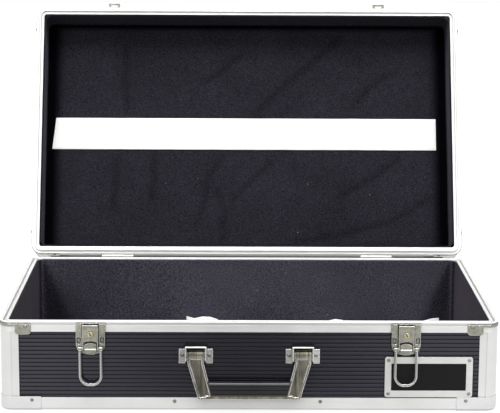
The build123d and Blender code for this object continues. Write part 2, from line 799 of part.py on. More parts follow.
def make_grip():
    """The black grip, rounded in section, fluted in front and cut to the slope of the arms."""
    low = arm_low + bar_height + seat_gap
    high = low + grip_height
    lean = (bracket_centre - arm_half - arm_foot[0]) / (arm_bend_height - arm_low)
    ends = [arm_foot[0] + lean * (z - arm_low) - seat_gap for z in (low, high)]
    with BuildPart() as grip:
        with BuildSketch(section(-bracket_centre)):
            with Locations((-half_depth - grip_out, low)):
                Rectangle(grip_depth, grip_height, align=(Align.MAX, Align.MIN))
        extrude(amount=2 * bracket_centre)
        fillet(grip.edges().filter_by(Axis.X), radius=grip_round)
        with BuildSketch(face("front", grip_out + grip_depth)):
            with Locations((0, low + grip_height / 2)):
                with GridLocations(0, flute_pitch, 1, flutes):
                    Rectangle(2 * bracket_centre, flute_width)
        extrude(amount=-flute_depth, mode=Mode.SUBTRACT)
        with BuildSketch(face("front")):
            with BuildLine():
                Polyline(
                    (-ends[0], low), (ends[0], low), (ends[1], high), (-ends[1], high), close=True
                )
            make_face()
        extrude(amount=2 * grip_depth, mode=Mode.INTERSECT)
    return grip


def knuckles(x, spans):
    """Adds hinge knuckles round the hinge's axis, each span measured from the hinge's middle."""
    for low, high in spans:
        with BuildSketch(section(x + low)) as knuckle:
            with Locations((hinge_y, hinge_z)):
                Circle(knuckle_radius)
        extrude(knuckle.sketch, amount=high - low)


def make_leaf(x, up):
    """A hinge leaf on the case's back: below the joint on the base, or above it on the closed lid."""
    half, middle = hinge_width / 2, knuckle_middle / 2
    outer = ((-half, -middle - side_gap), (middle + side_gap, half))
    spans = ((-middle, middle),) if up else outer
    way = 1 if up else -1
    near = hinge_z + way * (joint_gap / 2 + rim_step_top - seat_gap - side_gap)
    align_up = Align.MIN if up else Align.MAX
    with BuildPart() as leaf:
        with BuildSketch(face("back", 0, x)):
            with Locations((0, near)):
                Rectangle(hinge_width, leaf_height, align=(Align.CENTER, align_up))
        extrude(amount=hinge_sheet)
        knuckles(x, spans)
        for low, high in spans:
            with BuildSketch(section(x + low)):
                with Locations((half_depth, near)):
                    Rectangle(hinge_out, leaf_web, align=(Align.MIN, align_up))
            extrude(amount=high - low)
        if not up:
            # The stop stands just under the lid's leaf, where that lies when the lid is open.
            rest_y, rest_z = hinge_sheet + stop_gap - hinge_out, stop_reach
            turn = radians(lid_open)
            tip_y = hinge_y + rest_y * cos(turn) + rest_z * sin(turn)
            tip_z = hinge_z - rest_y * sin(turn) + rest_z * cos(turn)
            back = half_depth + hinge_sheet
            with BuildSketch(section(x - stop_width / 2)):
                with BuildLine():
                    Polyline(
                        (back, base_height - stop_foot[0]), (back, base_height - stop_foot[1]),
                        (tip_y, tip_z), (tip_y, tip_z - stop_tip), close=True,
                    )
                make_face()
            extrude(amount=stop_width)
        bore(x - half, hinge_width, hinge_y, hinge_z, hinge_pin_radius + running_gap)
    return leaf


def leaf_rivets():
    """Where the rivets of a hinge leaf stand, measured from the hinge's middle and the joint."""
    return [(s * hinge_rivet, rim_flange - leaf_height / 2) for s in (-1, 1)]


# The two shells
make_shell("base", base_height, False, None, {side: side for side in SIDES})
make_shell("lid", lid_depth, True, opened * upturned, ACROSS)
save(make_end_panel(), "base_bottom_panel")
save(make_end_panel(), "lid_top_panel", opened * upturned)

# Hinges
for name, x in hinge_places.items():
    save(make_leaf(x, False), f"hinge_base_leaf_{name}")
    save(make_leaf(x, True), f"hinge_lid_leaf_{name}", opened)
with BuildPart() as hinge_pins:
    for x in hinge_places.values():
        with BuildSketch(section(x - hinge_width / 2)):
            with Locations((hinge_y, hinge_z)):
                Circle(hinge_pin_radius)
        extrude(amount=hinge_width)
save(hinge_pins, "hinge_pins")

# Latches and catches
for name, x in latch_places.items():
    save(make_latch_plate(x), f"latch_plate_{name}")
    save(make_lever(x), f"latch_lever_{name}")
    save(make_key_cylinder(x), f"key_cylinder_{name}")
    save(make_cam(x), f"lock_cam_{name}")
    save(make_loop(x), f"latch_loop_{name}")
    save(make_catch(x), f"lid_catch_{name}", opened)
with BuildPart() as latch_pins:
    for x in latch_places.values():
        make_latch_pin(x)
save(latch_pins, "latch_pins")

# Handle
for name, x in bracket_places.items():
    save(make_bracket(x), f"handle_bracket_{name}")
save(make_handle_frame(), "handle_frame")
save(make_grip(), "handle_grip")
with BuildPart() as handle_pins:
    for x in bracket_places.values():
        with BuildSketch(section(x - housing_half)):
            with Locations((handle_pin_y, handle_pin_height)):
                Circle(handle_pin_radius)
        extrude(amount=2 * housing_half)
save(handle_pins, "handle_pins")

# Rivets of the fittings
badge_x, badge_z = half_width - badge_centre[0], badge_centre[1]
with BuildPart() as fitting_rivets:
    spots = [(s * latch_rivet[0], base_height - latch_rivet[1]) for s in (-1, 1)]
    for x in latch_places.values():
        rivets("front", column_depth - pocket[2], spots, x, latch_rivet_head)
    spot_x, spot_z = bracket_rivet
    for x in bracket_places.values():
        rivets("front", bracket_sheet - wall, [(-spot_x, spot_z), (spot_x, spot_z)], x)
    for x in hinge_places.values():
        rivets("back", hinge_sheet, [(u, base_height - v) for u, v in leaf_rivets()], x)
    spots = [(s * badge_rivet[0], badge_z + t * badge_rivet[1]) for s in (-1, 1) for t in (-1, 1)]
    rivets("front", badge_thickness - wall, spots, badge_x)
save(fitting_rivets, "base_fitting_rivets")
with BuildPart() as lid_fitting_rivets:
    spot_x, spot_z = catch_rivet
    for x in latch_places.values():
        spots = [(s * spot_x, base_height + spot_z) for s in (-1, 1)]
        rivets("front", catch_sheet, spots, x)
    for x in hinge_places.values():
        spots = [(u, base_height + joint_gap + v) for u, v in leaf_rivets()]
        rivets("back", hinge_sheet, spots, x)
save(lid_fitting_rivets, "lid_fitting_rivets", opened)

# Badge
with BuildPart() as badge_frame:
    with BuildSketch(face("front", -wall, badge_x)):
        with Locations((0, badge_z)):
            RectangleRounded(*badge_size, badge_round)
            Rectangle(*badge_window, mode=Mode.SUBTRACT)
    extrude(amount=badge_thickness)
save(badge_frame, "badge_frame")
with BuildPart() as badge_insert:
    with BuildSketch(face("front", -wall, badge_x)):
        with Locations((0, badge_z)):
            Rectangle(badge_window[0] - 2 * seat_gap, badge_window[1] - 2 * seat_gap)
    extrude(amount=insert_thickness)
save(badge_insert, "badge_insert")

# White strips on the lid's lining and on the floor
with BuildPart() as lid_tape:
    left, right = lid_strip_ends[0] - half_width, half_width - lid_strip_ends[1]
    front, back = lid_strip_edges
    with BuildSketch(Plane.XY.offset(closed_height - floor_top - strip_thickness)):
        with Locations(((left + right) / 2, (front + back) / 2)):
            Rectangle(right - left, back - front)
    extrude(amount=strip_thickness)
save(lid_tape, "lid_tape", opened)
with BuildPart() as floor_tape:
    back = half_depth - rim_width - lining_thickness
    for place in floor_strip_places:
        with BuildSketch(section(half_width - place - floor_strip_width / 2)):
            with Locations((back, floor_top)):
                run = back + half_depth - floor_strip_front
                Rectangle(run, strip_thickness, align=(Align.MAX, Align.MIN))
                Rectangle(strip_thickness, floor_strip_climb, align=(Align.MAX, Align.MIN))
        extrude(amount=floor_strip_width)
save(floor_tape, "floor_tape")

# Feet on the back
with BuildPart() as back_feet:
    reach = half_width - foot_from_side
    rows = (foot_from_edge, base_height - foot_from_edge)
    with BuildSketch(face("back", -wall)):
        with Locations(*[(s * reach, z) for s in (-1, 1) for z in rows]):
            Circle(foot_radius)
    extrude(amount=foot_height, taper=foot_taper)
save(back_feet, "back_feet")
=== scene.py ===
# %% [markdown]
# # Guitar pedal case
#
# A carry case of ribbed black board in aluminium extrusions, with its lid standing open. The
# imported CAD model is the frame: its rigid pieces stay and get materials, and the soft ones, the
# linings and the white strips, are replaced by pieces made here. Lengths are in metres, in the
# CAD model's own frame.

# %% [markdown]
# ## The imported model
#
# The panels, extrusions, corners, latches, hinges and handle come ready made. They could be
# modelled again here, but then they would no longer match the bodies that move. So the packed model
# is loaded as it is.

# %% Load the imported model
from math import cos, exp, hypot, pi, radians, sin

import bmesh
import bpy
from mathutils import Matrix, Vector, noise


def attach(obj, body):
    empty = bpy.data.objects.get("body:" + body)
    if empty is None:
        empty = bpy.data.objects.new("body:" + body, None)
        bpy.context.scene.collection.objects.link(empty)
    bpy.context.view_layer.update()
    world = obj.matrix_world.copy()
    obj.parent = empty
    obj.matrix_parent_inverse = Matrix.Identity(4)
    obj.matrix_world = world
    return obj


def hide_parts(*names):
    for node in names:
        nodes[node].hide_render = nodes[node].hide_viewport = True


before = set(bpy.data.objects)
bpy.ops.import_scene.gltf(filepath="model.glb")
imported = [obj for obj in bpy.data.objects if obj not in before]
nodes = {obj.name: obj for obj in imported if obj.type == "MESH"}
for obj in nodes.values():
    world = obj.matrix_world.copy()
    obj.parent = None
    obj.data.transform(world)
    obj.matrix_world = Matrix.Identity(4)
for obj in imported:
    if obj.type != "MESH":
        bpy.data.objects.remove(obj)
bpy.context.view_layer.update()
scene = bpy.context.scene
MM = 0.001

# %% [markdown]
# ## Sizes shared with the CAD model
#
# The soft pieces have to fit the rigid ones, so they start from the same sizes. The lid's lining
# could be drawn where it stands, leaning back. It is easier to draw it as a tray with its open
# side up, like the base's, then to turn it over onto the closed case and swing it open about the
# hinge.

# %% Sizes, and the lid's turn
CASE_WIDTH, CASE_DEPTH = 600 * MM, 356 * MM
BASE_HEIGHT, LID_HEIGHT, CLOSED_HEIGHT = 110 * MM, 54.6 * MM, 165 * MM
LID_OPEN = 111.6  # degrees
HINGE_Y, HINGE_Z = 182 * MM, 110.2 * MM
FLOOR_TOP = 9.3 * MM  # the face of the lining's floor
LINING_FACE = 12.4 * MM  # from the case's outside to the lining's face
LINING_RADIUS = 9 * MM
LINING_DROP = 1.0 * MM  # from the rim's top to the lining's edge

LID_TURN = (
    Matrix.Translation((0, HINGE_Y, HINGE_Z))
    @ Matrix.Rotation(radians(-LID_OPEN), 4, "X")
    @ Matrix.Translation((0, -HINGE_Y, -HINGE_Z))
)
UPTURNED = Matrix.Translation((0, 0, CLOSED_HEIGHT)) @ Matrix.Rotation(pi, 4, "X")
LID_PLACE = LID_TURN @ UPTURNED
STILL = Matrix.Identity(4)
print("the middle of the open lid's lining is at", LID_PLACE @ Vector((0, 0, FLOOR_TOP)))

# %% [markdown]
# ## Camera
#
# The case is seen low and almost square to its front, so that the latches, the handle and the
# open inside all show. A short lens close by would splay its sides. A long lens from more than
# two metres away keeps them nearly parallel. Its length is given in pixels of the image's width,
# and turned into millimetres.

# %% Place the camera
CAMERA_AT = Vector((-0.02376, -2.26669, 0.65673))
CAMERA_YAW, CAMERA_PITCH, CAMERA_ROLL = 0.01127, 0.19165, 0.00562  # radians
IMAGE_WIDTH, FOCAL_PIXELS = 500, 1798.56
SENSOR = 36.0  # millimetres
FAR_END = 50


def place_camera():
    """Adds the camera with its place, direction, roll and lens."""
    yaw, pitch = CAMERA_YAW, CAMERA_PITCH
    ahead = Vector((sin(yaw) * cos(pitch), cos(yaw) * cos(pitch), -sin(pitch)))
    right = Vector((cos(yaw), -sin(yaw), 0))
    up = right.cross(ahead)
    right_rolled = right * cos(CAMERA_ROLL) + up * sin(CAMERA_ROLL)
    up_rolled = up * cos(CAMERA_ROLL) - right * sin(CAMERA_ROLL)
    data = bpy.data.cameras.new("camera")
    data.sensor_width = SENSOR
    data.lens = FOCAL_PIXELS * SENSOR / IMAGE_WIDTH
    data.clip_end = FAR_END
    camera = bpy.data.objects.new("camera", data)
    turn = Matrix((right_rolled, up_rolled, -ahead)).transposed()
    camera.matrix_world = Matrix.Translation(CAMERA_AT) @ turn.to_4x4()
    scene.collection.objects.link(camera)
    scene.camera = camera
    return camera


print("camera with a lens of", round(place_camera().data.lens, 1), "mm")

# %% [markdown]
# ## Colours, sizes and nodes
#
# Every finish on the case is built from shader nodes. They could be wired by hand in the shader
# editor, but a script can be read, changed and run again. One function turns a colour into the
# linear light that the renderer adds up, one turns a real size into a texture's scale, and one
# adds a node.

# %% Tools for colours, sizes and nodes


def linear(code):
    """The linear colour of an sRGB hex code."""
    parts = [int(code[i : i + 2], 16) / 255 for i in (1, 3, 5)]
    return (*[c / 12.92 if c <= 0.04045 else ((c + 0.055) / 1.055) ** 2.4 for c in parts], 1.0)


def per_metre(size):
    """How many times a pattern of this size, in millimetres, fits in a metre."""
    return 1 / (size * MM)


def add(tree, kind, inputs=(), **settings):
    """Adds a node with its settings, values and links, and gives its outputs."""
    node = tree.nodes.new(kind)
    for name, value in settings.items():
        setattr(node, name, value)
    for key, value in dict(inputs).items():
        if isinstance(value, bpy.types.NodeSocket):
            tree.links.new(value, node.inputs[key])
        else:
            node.inputs[key].default_value = value
    return node.outputs


BLACK, WHITE = linear("#000000"), linear("#ffffff")
print("mid grey is", round(linear("#808080")[0], 3), "in linear light")

# %% [markdown]
# ## A new material
#
# A material starts as one shader with constant values. The texture nodes are then placed by
# Object coordinates, which are lengths in metres on the piece. Generated coordinates would
# stretch each pattern to the size of its piece, and a long extrusion would get coarser marks than
# a short one.

# %% Start a material
GREYS = {"From Min": 0.3, "From Max": 0.7}  # most of a noise texture's greys lie between these
SOFT = {"Detail": 3.0, "Roughness": 0.6}  # how a noise texture's smaller parts are added


def start_material(name, roughness, metallic=0.0, **constants):
    """A material, the tree for its nodes, its shader, and the place on the piece."""
    material = bpy.data.materials.new(name)
    material.use_nodes = True
    tree = material.node_tree
    shader = tree.nodes["Principled BSDF"]
    shader.inputs["Roughness"].default_value = roughness
    shader.inputs["Metallic"].default_value = metallic
    for key, value in constants.items():
        shader.inputs[key.replace("_", " ")].default_value = value
    return material, tree, shader, add(tree, "ShaderNodeTexCoord")["Object"]


print("a noise's greys are taken from", *GREYS.values())

# %% [markdown]
# ## Gaps and edges
#
# Real hardware is shaded in its gaps, and its rounded edges catch the light. Modelling them would
# cost many faces on every piece. An Ambient Occlusion node finds the gaps in the shading alone, and
# they get painted shade. A Bevel node gives a rounded normal, and where that leaves the flat one
# there is an edge, which gets a painted highlight.

# %% Tools for gaps and edges
RECESS_REACH = 2.5 * MM  # a gap this wide has begun to get painted shade
RECESS_FULL = 0.3  # the openness of a gap that is as dark as it gets
EDGE_FULL, EDGE_NONE = 0.8, 0.995  # how far the two normals agree on an edge, and off it


def paint_recess_shade(tree, colour, darkest, open_from):
    """A colour with painted shade in gaps and inner corners, and that painted shade."""
    near = {"Distance": RECESS_REACH}
    openness = add(tree, "ShaderNodeAmbientOcclusion", near, samples=8)["AO"]
    ranges = {"From Min": RECESS_FULL, "From Max": open_from, "To Min": darkest, "To Max": 0.0}
    shade = add(tree, "ShaderNodeMapRange", {"Value": openness, **ranges})["Result"]
    mixed = add(tree, "ShaderNodeMix", {0: shade, 6: colour, 7: BLACK}, data_type="RGBA")
    return mixed[2], shade


def paint_edge_highlight(tree, colour, rounded, edge_highlight):
    """A colour with a painted highlight where the rounded normal leaves the flat one."""
    flat = add(tree, "ShaderNodeNewGeometry")["True Normal"]
    along = add(tree, "ShaderNodeVectorMath", {0: rounded, 1: flat}, operation="DOT_PRODUCT")
    ranges = {"From Min": EDGE_FULL, "From Max": EDGE_NONE, "To Min": 1.0, "To Max": 0.0}
    edge = add(tree, "ShaderNodeMapRange", {"Value": along["Value"], **ranges})
    colours = {0: edge["Result"], 6: colour, 7: linear(edge_highlight)}
    return add(tree, "ShaderNodeMix", colours, data_type="RGBA")[2]


print("gaps darken within", RECESS_REACH / MM, "mm")

# %% [markdown]
# ## Marks on a hard surface
#
# No hard finish is perfectly even. Fine marks or grain break its highlight. They could be
# modelled, but they are finer than any mesh. So a pattern moves the roughness up and down by a
# fifth, and a Bump node tilts the light by it on top of the rounded edges.

# %% A tool for marks
MARK_HEIGHT = 0.2 * MM
SMOOTHER, ROUGHER = 0.8, 1.2


def mark_surface(tree, shader, pattern, roughness, strength, rounded):
    """Stirs the roughness by a pattern, and raises the surface by it."""
    ranges = {**GREYS, "To Min": roughness * SMOOTHER, "To Max": roughness * ROUGHER}
    rough = add(tree, "ShaderNodeMapRange", {"Value": pattern, **ranges})
    tree.links.new(rough["Result"], shader.inputs["Roughness"])
    height = {"Height": pattern, "Strength": strength, "Distance": MARK_HEIGHT}
    raised = add(tree, "ShaderNodeBump", {**height, "Normal": rounded})
    tree.links.new(raised["Normal"], shader.inputs["Normal"])


print("marks rise by at most", MARK_HEIGHT / MM, "mm")

# %% [markdown]
# ## Brushing
#
# Drawn aluminium has fine lines along it, and they spread each reflection across the piece. So a
# long extrusion shows one soft bright band. A bump of lines that fine would only flicker. The
# shader can spread reflections by itself, once it knows the way across the lines and along the
# face. That is the cross product of the face's normal and the lines' direction.

# %% A tool for brushing
BRUSHED = 0.8  # how far the reflections are spread
NO_GRAIN = (0.002, 0.001, 0.01)  # nearly upright, for the faces that look along the lines


def brush_along(tree, shader, grain):
    """Spreads the reflections across the way a metal is brushed."""
    spaces = {"vector_type": "VECTOR", "convert_from": "OBJECT", "convert_to": "WORLD"}
    along = add(tree, "ShaderNodeVectorTransform", {"Vector": grain}, **spaces)[0]
    facing = add(tree, "ShaderNodeNewGeometry")["Normal"]
    both = {0: facing, 1: along}
    across = add(tree, "ShaderNodeVectorMath", both, operation="CROSS_PRODUCT")[0]
    steady = add(tree, "ShaderNodeVectorMath", {0: across, 1: NO_GRAIN}, operation="ADD")
    tree.links.new(steady[0], shader.inputs["Tangent"])
    shader.inputs["Anisotropic"].default_value = BRUSHED


print("brushing spreads reflections by", BRUSHED)

# %% [markdown]
# ## Metal
#
# Drawn aluminium, plated steel, chrome and brass share one recipe. Each could be a flat colour
# with a roughness, and would look like plastic. A real one carries marks along the way it was
# drawn or pressed, and broad clouds where it was polished and handled. So two noises are
# multiplied, and they set the tone between a dull and a bright colour.

# %% The colour of a metal
CLOUD_SIZE = 45.45  # millimetres
TONE_LOW, TONE_HIGH = 0.12, 0.42  # most of the product of two noises lies between these
CORE_EDGE, CORE_END = 0.1, 0.5  # how far a wire has turned away where its middle ends


def metal_tone(tree, place, streak, dull, bright):
    """The marks of a metal, of a size in millimetres each way, and its colour from them."""
    scale = [per_metre(size) for size in streak]
    drawn = add(tree, "ShaderNodeMapping", {"Vector": place, "Scale": scale})["Vector"]
    fine = {"Vector": drawn, "Scale": 1.0, **SOFT}
    broad = {"Vector": place, "Scale": per_metre(CLOUD_SIZE), **SOFT}
    streaks = add(tree, "ShaderNodeTexNoise", fine)["Fac"]
    clouds = add(tree, "ShaderNodeTexNoise", broad)["Fac"]
    both = add(tree, "ShaderNodeMath", {0: streaks, 1: clouds}, operation="MULTIPLY")[0]
    ranges = {"From Min": TONE_LOW, "From Max": TONE_HIGH}
    tone = add(tree, "ShaderNodeMapRange", {"Value": both, **ranges})["Result"]
    colours = {0: tone, 6: linear(dull), 7: linear(bright)}
    return streaks, add(tree, "ShaderNodeMix", colours, data_type="RGBA")[2]


def paint_core_reflection(tree, colour, core_reflection):
    """A colour with a greyer middle, a painted reflection of the dark room before a round wire."""
    turned = add(tree, "ShaderNodeLayerWeight", {"Blend": 0.5})["Facing"]
    ranges = {"From Min": CORE_EDGE, "From Max": CORE_END}
    side = add(tree, "ShaderNodeMapRange", {"Value": turned, **ranges})["Result"]
    colours = {0: side, 6: linear(core_reflection), 7: colour}
    return add(tree, "ShaderNodeMix", colours, data_type="RGBA")[2]


print("metals have clouds of", CLOUD_SIZE, "mm")

# %% The metal finish


def metal(
    name, bright, dull, roughness, streak, edge_highlight,
    edge=0.5, marks=0.15, recess_shade=0.55, metallic=1.0, grain=None, core_reflection=None,
):
    """A metal with marks, edges rounded by some millimetres, painted highlights on them, and
    painted shade in its recesses.
    """
    material, tree, shader, place = start_material(name, roughness, metallic)
    streaks, colour = metal_tone(tree, place, streak, dull, bright)
    rounded = add(tree, "ShaderNodeBevel", {"Radius": edge * MM}, samples=6)["Normal"]
    # Painted highlights on the edges, then painted shade in the gaps.
    colour = paint_edge_highlight(tree, colour, rounded, edge_highlight)
    colour, _ = paint_recess_shade(tree, colour, recess_shade, open_from=0.9)
    # On a wire, a painted reflection down its middle.
    if core_reflection:
        colour = paint_core_reflection(tree, colour, core_reflection)
    tree.links.new(colour, shader.inputs["Base Color"])
    if grain:
        brush_along(tree, shader, grain)
    mark_surface(tree, shader, streaks, roughness, marks, rounded)
    return material


print("edges are rounded by", metal.__defaults__[0], "mm, unless told otherwise")

# %% [markdown]
# ### Drawn aluminium
#
# The rims, the posts and the long edges are drawn aluminium, anodised: pale and satin, with a
# soft band of light along each. A picture of brushed metal would run the same way on them all. So
# there is one material for each way that a piece can run. Real drawing lines are a few hundredths
# of a millimetre wide, too fine to show, and here they are about a millimetre.

# %% Anodised aluminium
LINE, RUN = 1.111, 50  # millimetres across a line, and along it
ANODISED = dict(
    bright="#f0f0ef", dull="#e6e6e5", roughness=0.42, edge_highlight="#fafafa", metallic=0.6, recess_shade=0.6
)
extrusion_x = metal("anodised_aluminium_x", streak=(RUN, LINE, LINE), grain=(1, 0, 0), **ANODISED)
extrusion_y = metal("anodised_aluminium_y", streak=(LINE, RUN, LINE), grain=(0, 1, 0), **ANODISED)
extrusion_z = metal("anodised_aluminium_z", streak=(LINE, LINE, RUN), grain=(0, 0, 1), **ANODISED)
# Rolled sheet, on the badge's frame: as matt, with shorter and coarser lines.
badge_metal = metal(
    "badge_aluminium", bright="#e4e4e2", dull="#d4d4d0", roughness=0.4,
    streak=(33.33, 1.429, 1.429), edge_highlight="#f0f0f0", metallic=0.7,
)
# Set rivets, in a softer alloy: grey domes, each with a ring of shadow round it.
rivet_metal = metal(
    "rivet_aluminium", bright="#a8a8a4", dull="#64645f", roughness=0.26,
    streak=(2.5, 2.5, 2.5), edge_highlight="#e4e4e2", edge=0.3, recess_shade=1.0,
)
print("anodised, rolled and riveted:", len(bpy.data.materials), "materials")

# %% [markdown]
# ### Plated steel
#
# The corners, latches and hinges are pressed from steel and plated against rust. One grey for all
# of them would lose the difference between nickel, which is warm and half glossy, and zinc, which
# is cool and more matt. So each plating has its own colours and roughness.

# %% Plated steel
# The pressed corners: as pale as the extrusions, but even, without their lines.
cap_metal = metal(
    "bright_plated_steel", bright="#f2f2f2", dull="#eaeaea", roughness=0.34,
    streak=(11.11, 11.11, 11.11), edge_highlight="#f6f6f6", marks=0.05, metallic=0.4,
)
# Nickel, on the latches: warm grey, with painted highlights on its pressed edges and painted shade
# in its gaps.
steel = metal(
    "nickel_plated_steel", bright="#a9a89d", dull="#7d7c72", roughness=0.22,
    streak=(5, 5, 5), edge_highlight="#fdfdfb", edge=0.7, recess_shade=1.0,
)
# Zinc, on the hinges: cooler and more matt, with marks along them.
hinge_steel = metal(
    "zinc_plated_steel", bright="#d2d2ce", dull="#b4b4b0", roughness=0.34,
    streak=(16.67, 2, 2), edge_highlight="#f0f0ee",
)
print("plated:", cap_metal.name, steel.name, hinge_steel.name)

# %% [markdown]
# ### Chrome and brass
#
# Chrome is a mirror, so it looks like what stands round it: white floor, dark room. A studio would
# give it dark cards to mirror. Here its dull colour and its marks are painted reflections in their
# place, drawn out the way that its reflections run. The key's cylinder is brass, with painted shade
# in its keyway.

# %% Chrome and brass
# The handle's arms: painted reflections in dark and light bands that run down them, between painted
# highlights on their edges.
chrome = metal(
    "arm_chrome", bright="#bab5a4", dull="#4a4841", roughness=0.1,
    streak=(2.381, 16.67, 62.5), edge_highlight="#fdfdfb", edge=1.8, marks=0.02, recess_shade=0.9,
)
# The pressed brackets that hold them: brighter, and slightly rippled.
bright_chrome = metal(
    "bracket_chrome", bright="#f6f6f2", dull="#a4a4a0", roughness=0.12,
    streak=(2.381, 2.381, 2.381), edge_highlight="#ffffff", edge=0.9, marks=0.05, recess_shade=1.0,
)
# The latches' wire loops: white sides, with a painted reflection as a grey line down the middle.
wire_chrome = metal(
    "wire_chrome", bright="#f6f6f4", dull="#e0e0dc", roughness=0.06,
    streak=(8.333, 8.333, 8.333), edge_highlight="#f6f6f4", edge=0.1, marks=0.05, core_reflection="#a2a2a0",
)
# The locks' cylinders: pale yellow, worn to a warmer brown in patches.
brass = metal(
    "brass", bright="#d8cca6", dull="#84703c", roughness=0.24, streak=(3.333, 3.333, 3.333),
    edge_highlight="#f8f0d8", recess_shade=0.95,
)
print("polished:", chrome.name, bright_chrome.name, wire_chrome.name, brass.name)

# %% [markdown]
# ## Plastic and rubber
#
# The panels are fibreboard under a black plastic laminate. Its flat ribs mirror the pale floor, and
# the grooves between them get painted shade. Stripes could be painted by a texture, but here the
# ribs are real, so the finish needs only a fine grain, a slow change of tone, and painted shade in
# the recesses, where the mirror fades too. The grip, the badge and the feet use the same recipe
# with other numbers.

# %% The plastic finish
PATCH_SIZE = 71.43  # millimetres
ROUNDING = 0.4 * MM


def fade_mirror(tree, shader, shade):
    """Takes the mirror away where the painted shade is full."""
    level = shader.inputs["Specular IOR Level"].default_value
    fading = {0: shade, 1: -level, 2: level}
    mirror = add(tree, "ShaderNodeMath", fading, operation="MULTIPLY_ADD")[0]
    tree.links.new(mirror, shader.inputs["Specular IOR Level"])


def plastic(name, dark, light, roughness, grain=1.111, strength=0.12, recess_shade=0.5, **constants):
    """A moulded or laminated plastic, with a grain of a size in millimetres."""
    material, tree, shader, place = start_material(name, roughness, **constants)
    small = {"Vector": place, "Scale": per_metre(grain), **SOFT}
    large = {"Vector": place, "Scale": per_metre(PATCH_SIZE), **SOFT}
    grains = add(tree, "ShaderNodeTexNoise", small)["Fac"]
    patches = add(tree, "ShaderNodeTexNoise", large)["Fac"]
    tone = add(tree, "ShaderNodeMapRange", {"Value": patches, **GREYS})["Result"]
    colours = {0: tone, 6: linear(dark), 7: linear(light)}
    colour = add(tree, "ShaderNodeMix", colours, data_type="RGBA")[2]
    # Painted shade in the grooves and gaps, with the mirror faded there too.
    colour, shade = paint_recess_shade(tree, colour, recess_shade, open_from=0.97)
    tree.links.new(colour, shader.inputs["Base Color"])
    fade_mirror(tree, shader, shade)
    rounded = add(tree, "ShaderNodeBevel", {"Radius": ROUNDING}, samples=6)["Normal"]
    mark_surface(tree, shader, grains, roughness, strength, rounded)
    return material


print("plastics have patches of", PATCH_SIZE, "mm")

# %% [markdown]
# ### The case's plastics
#
# All four are black, and could share one material, but the eye tells them apart by their gloss.
# So each has its own roughness, and the laminate also a slightly higher IOR, since its lacquer
# mirrors more than bare plastic. The laminate's real grain is too fine to show, and is drawn at
# 0.7 mm.

# %% Laminate, grip, badge and feet
# Lacquered laminate: each rib a cool grey mirror of the floor, with painted shade making each
# groove black.
board = plastic(
    "ribbed_laminate", dark="#0f0e13", light="#17161c", roughness=0.14, grain=0.7143,
    strength=0.04, recess_shade=1.0, IOR=1.62, Specular_Tint=linear("#eeecff"),
)
# Polished moulding: a streak of light along each flute of the grip.
grip_black = plastic(
    "fluted_black_plastic", dark="#1c1c1f", light="#29292d", roughness=0.2, grain=2,
    strength=0.02, recess_shade=0.9,
)
# Matt sheet behind the badge's frame: darker than the panel round it.
badge_black = plastic(
    "badge_black", dark="#040405", light="#08080a", roughness=0.5, strength=0.06, IOR=1.3,
)
# Rubber: dark grey, with a coarse grain and no gloss.
rubber = plastic(
    "foot_rubber", dark="#161617", light="#222223", roughness=0.75, grain=1.429,
    strength=0.3,
)
print("plastics:", board.name, grip_black.name, badge_black.name, rubber.name)

# %% [markdown]
# ## Cloth
#
# The lining is a short napped cloth on foam, and the strips are woven tape. Real fibres are a
# fiftieth of a millimetre thick. Hair strands could show them, at great cost, and from here they
# would blur. So the finest noise is drawn at 0.7 mm, a coarser one adds the tufts, and slow
# clouds move the tone where hands have stroked the nap.

# %% The fibres of a cloth
TUFT_SIZE, STROKE_SIZE = 1.6129, 111.11  # millimetres
TUFT_LOW, TUFT_HIGH = 0.75, 1.3  # most of the sum of two noises lies between these
NAP_HEIGHT = 0.4 * MM


def weave(tree, place, fibre, tones):
    """The fibres of a cloth, and its tone, from the fibres and from clouds within two tones."""
    small = {"Vector": place, "Scale": per_metre(fibre), "Detail": 2.0, "Roughness": 0.7}
    medium = {"Vector": place, "Scale": per_metre(TUFT_SIZE), "Detail": 3.0, "Roughness": 0.7}
    large = {"Vector": place, "Scale": per_metre(STROKE_SIZE), "Detail": 4.0, "Roughness": 0.55}
    fibres = add(tree, "ShaderNodeTexNoise", small)["Fac"]
    tufts = add(tree, "ShaderNodeTexNoise", medium)["Fac"]
    strokes = add(tree, "ShaderNodeTexNoise", {**large, "Distortion": 0.6})["Fac"]
    both = add(tree, "ShaderNodeMath", {0: fibres, 1: tufts}, operation="ADD")[0]
    ranges = {"From Min": TUFT_LOW, "From Max": TUFT_HIGH}
    near = add(tree, "ShaderNodeMapRange", {"Value": both, **ranges})["Result"]
    ranges = {**GREYS, "To Min": tones[0], "To Max": tones[1]}
    far = add(tree, "ShaderNodeMapRange", {"Value": strokes, **ranges})["Result"]
    tone = add(tree, "ShaderNodeMath", {0: near, 1: far}, operation="MULTIPLY")[0]
    return both, tone


print("cloth has tufts of", TUFT_SIZE, "mm and strokes of", STROKE_SIZE, "mm")

# %% [markdown]
# ### Painted shading and lint
#
# The lining gets painted shade in its folds and gutters, with less sheen there, and painted light
# on some walls. Dark cloth also gathers pale lint. The shading could be drawn on an image. The
# lining's mesh has points close enough together to carry it instead, as an attribute, which is
# written when the mesh is made. The lint is the middles of Voronoi cells.

# %% Tools for painted shading and lint
LINT_SPACING = 27.778  # millimetres between specks
LINT_SIZE = 0.012  # of the spacing
LINT_CATCH = 0.8  # how much of the cloth a speck hides


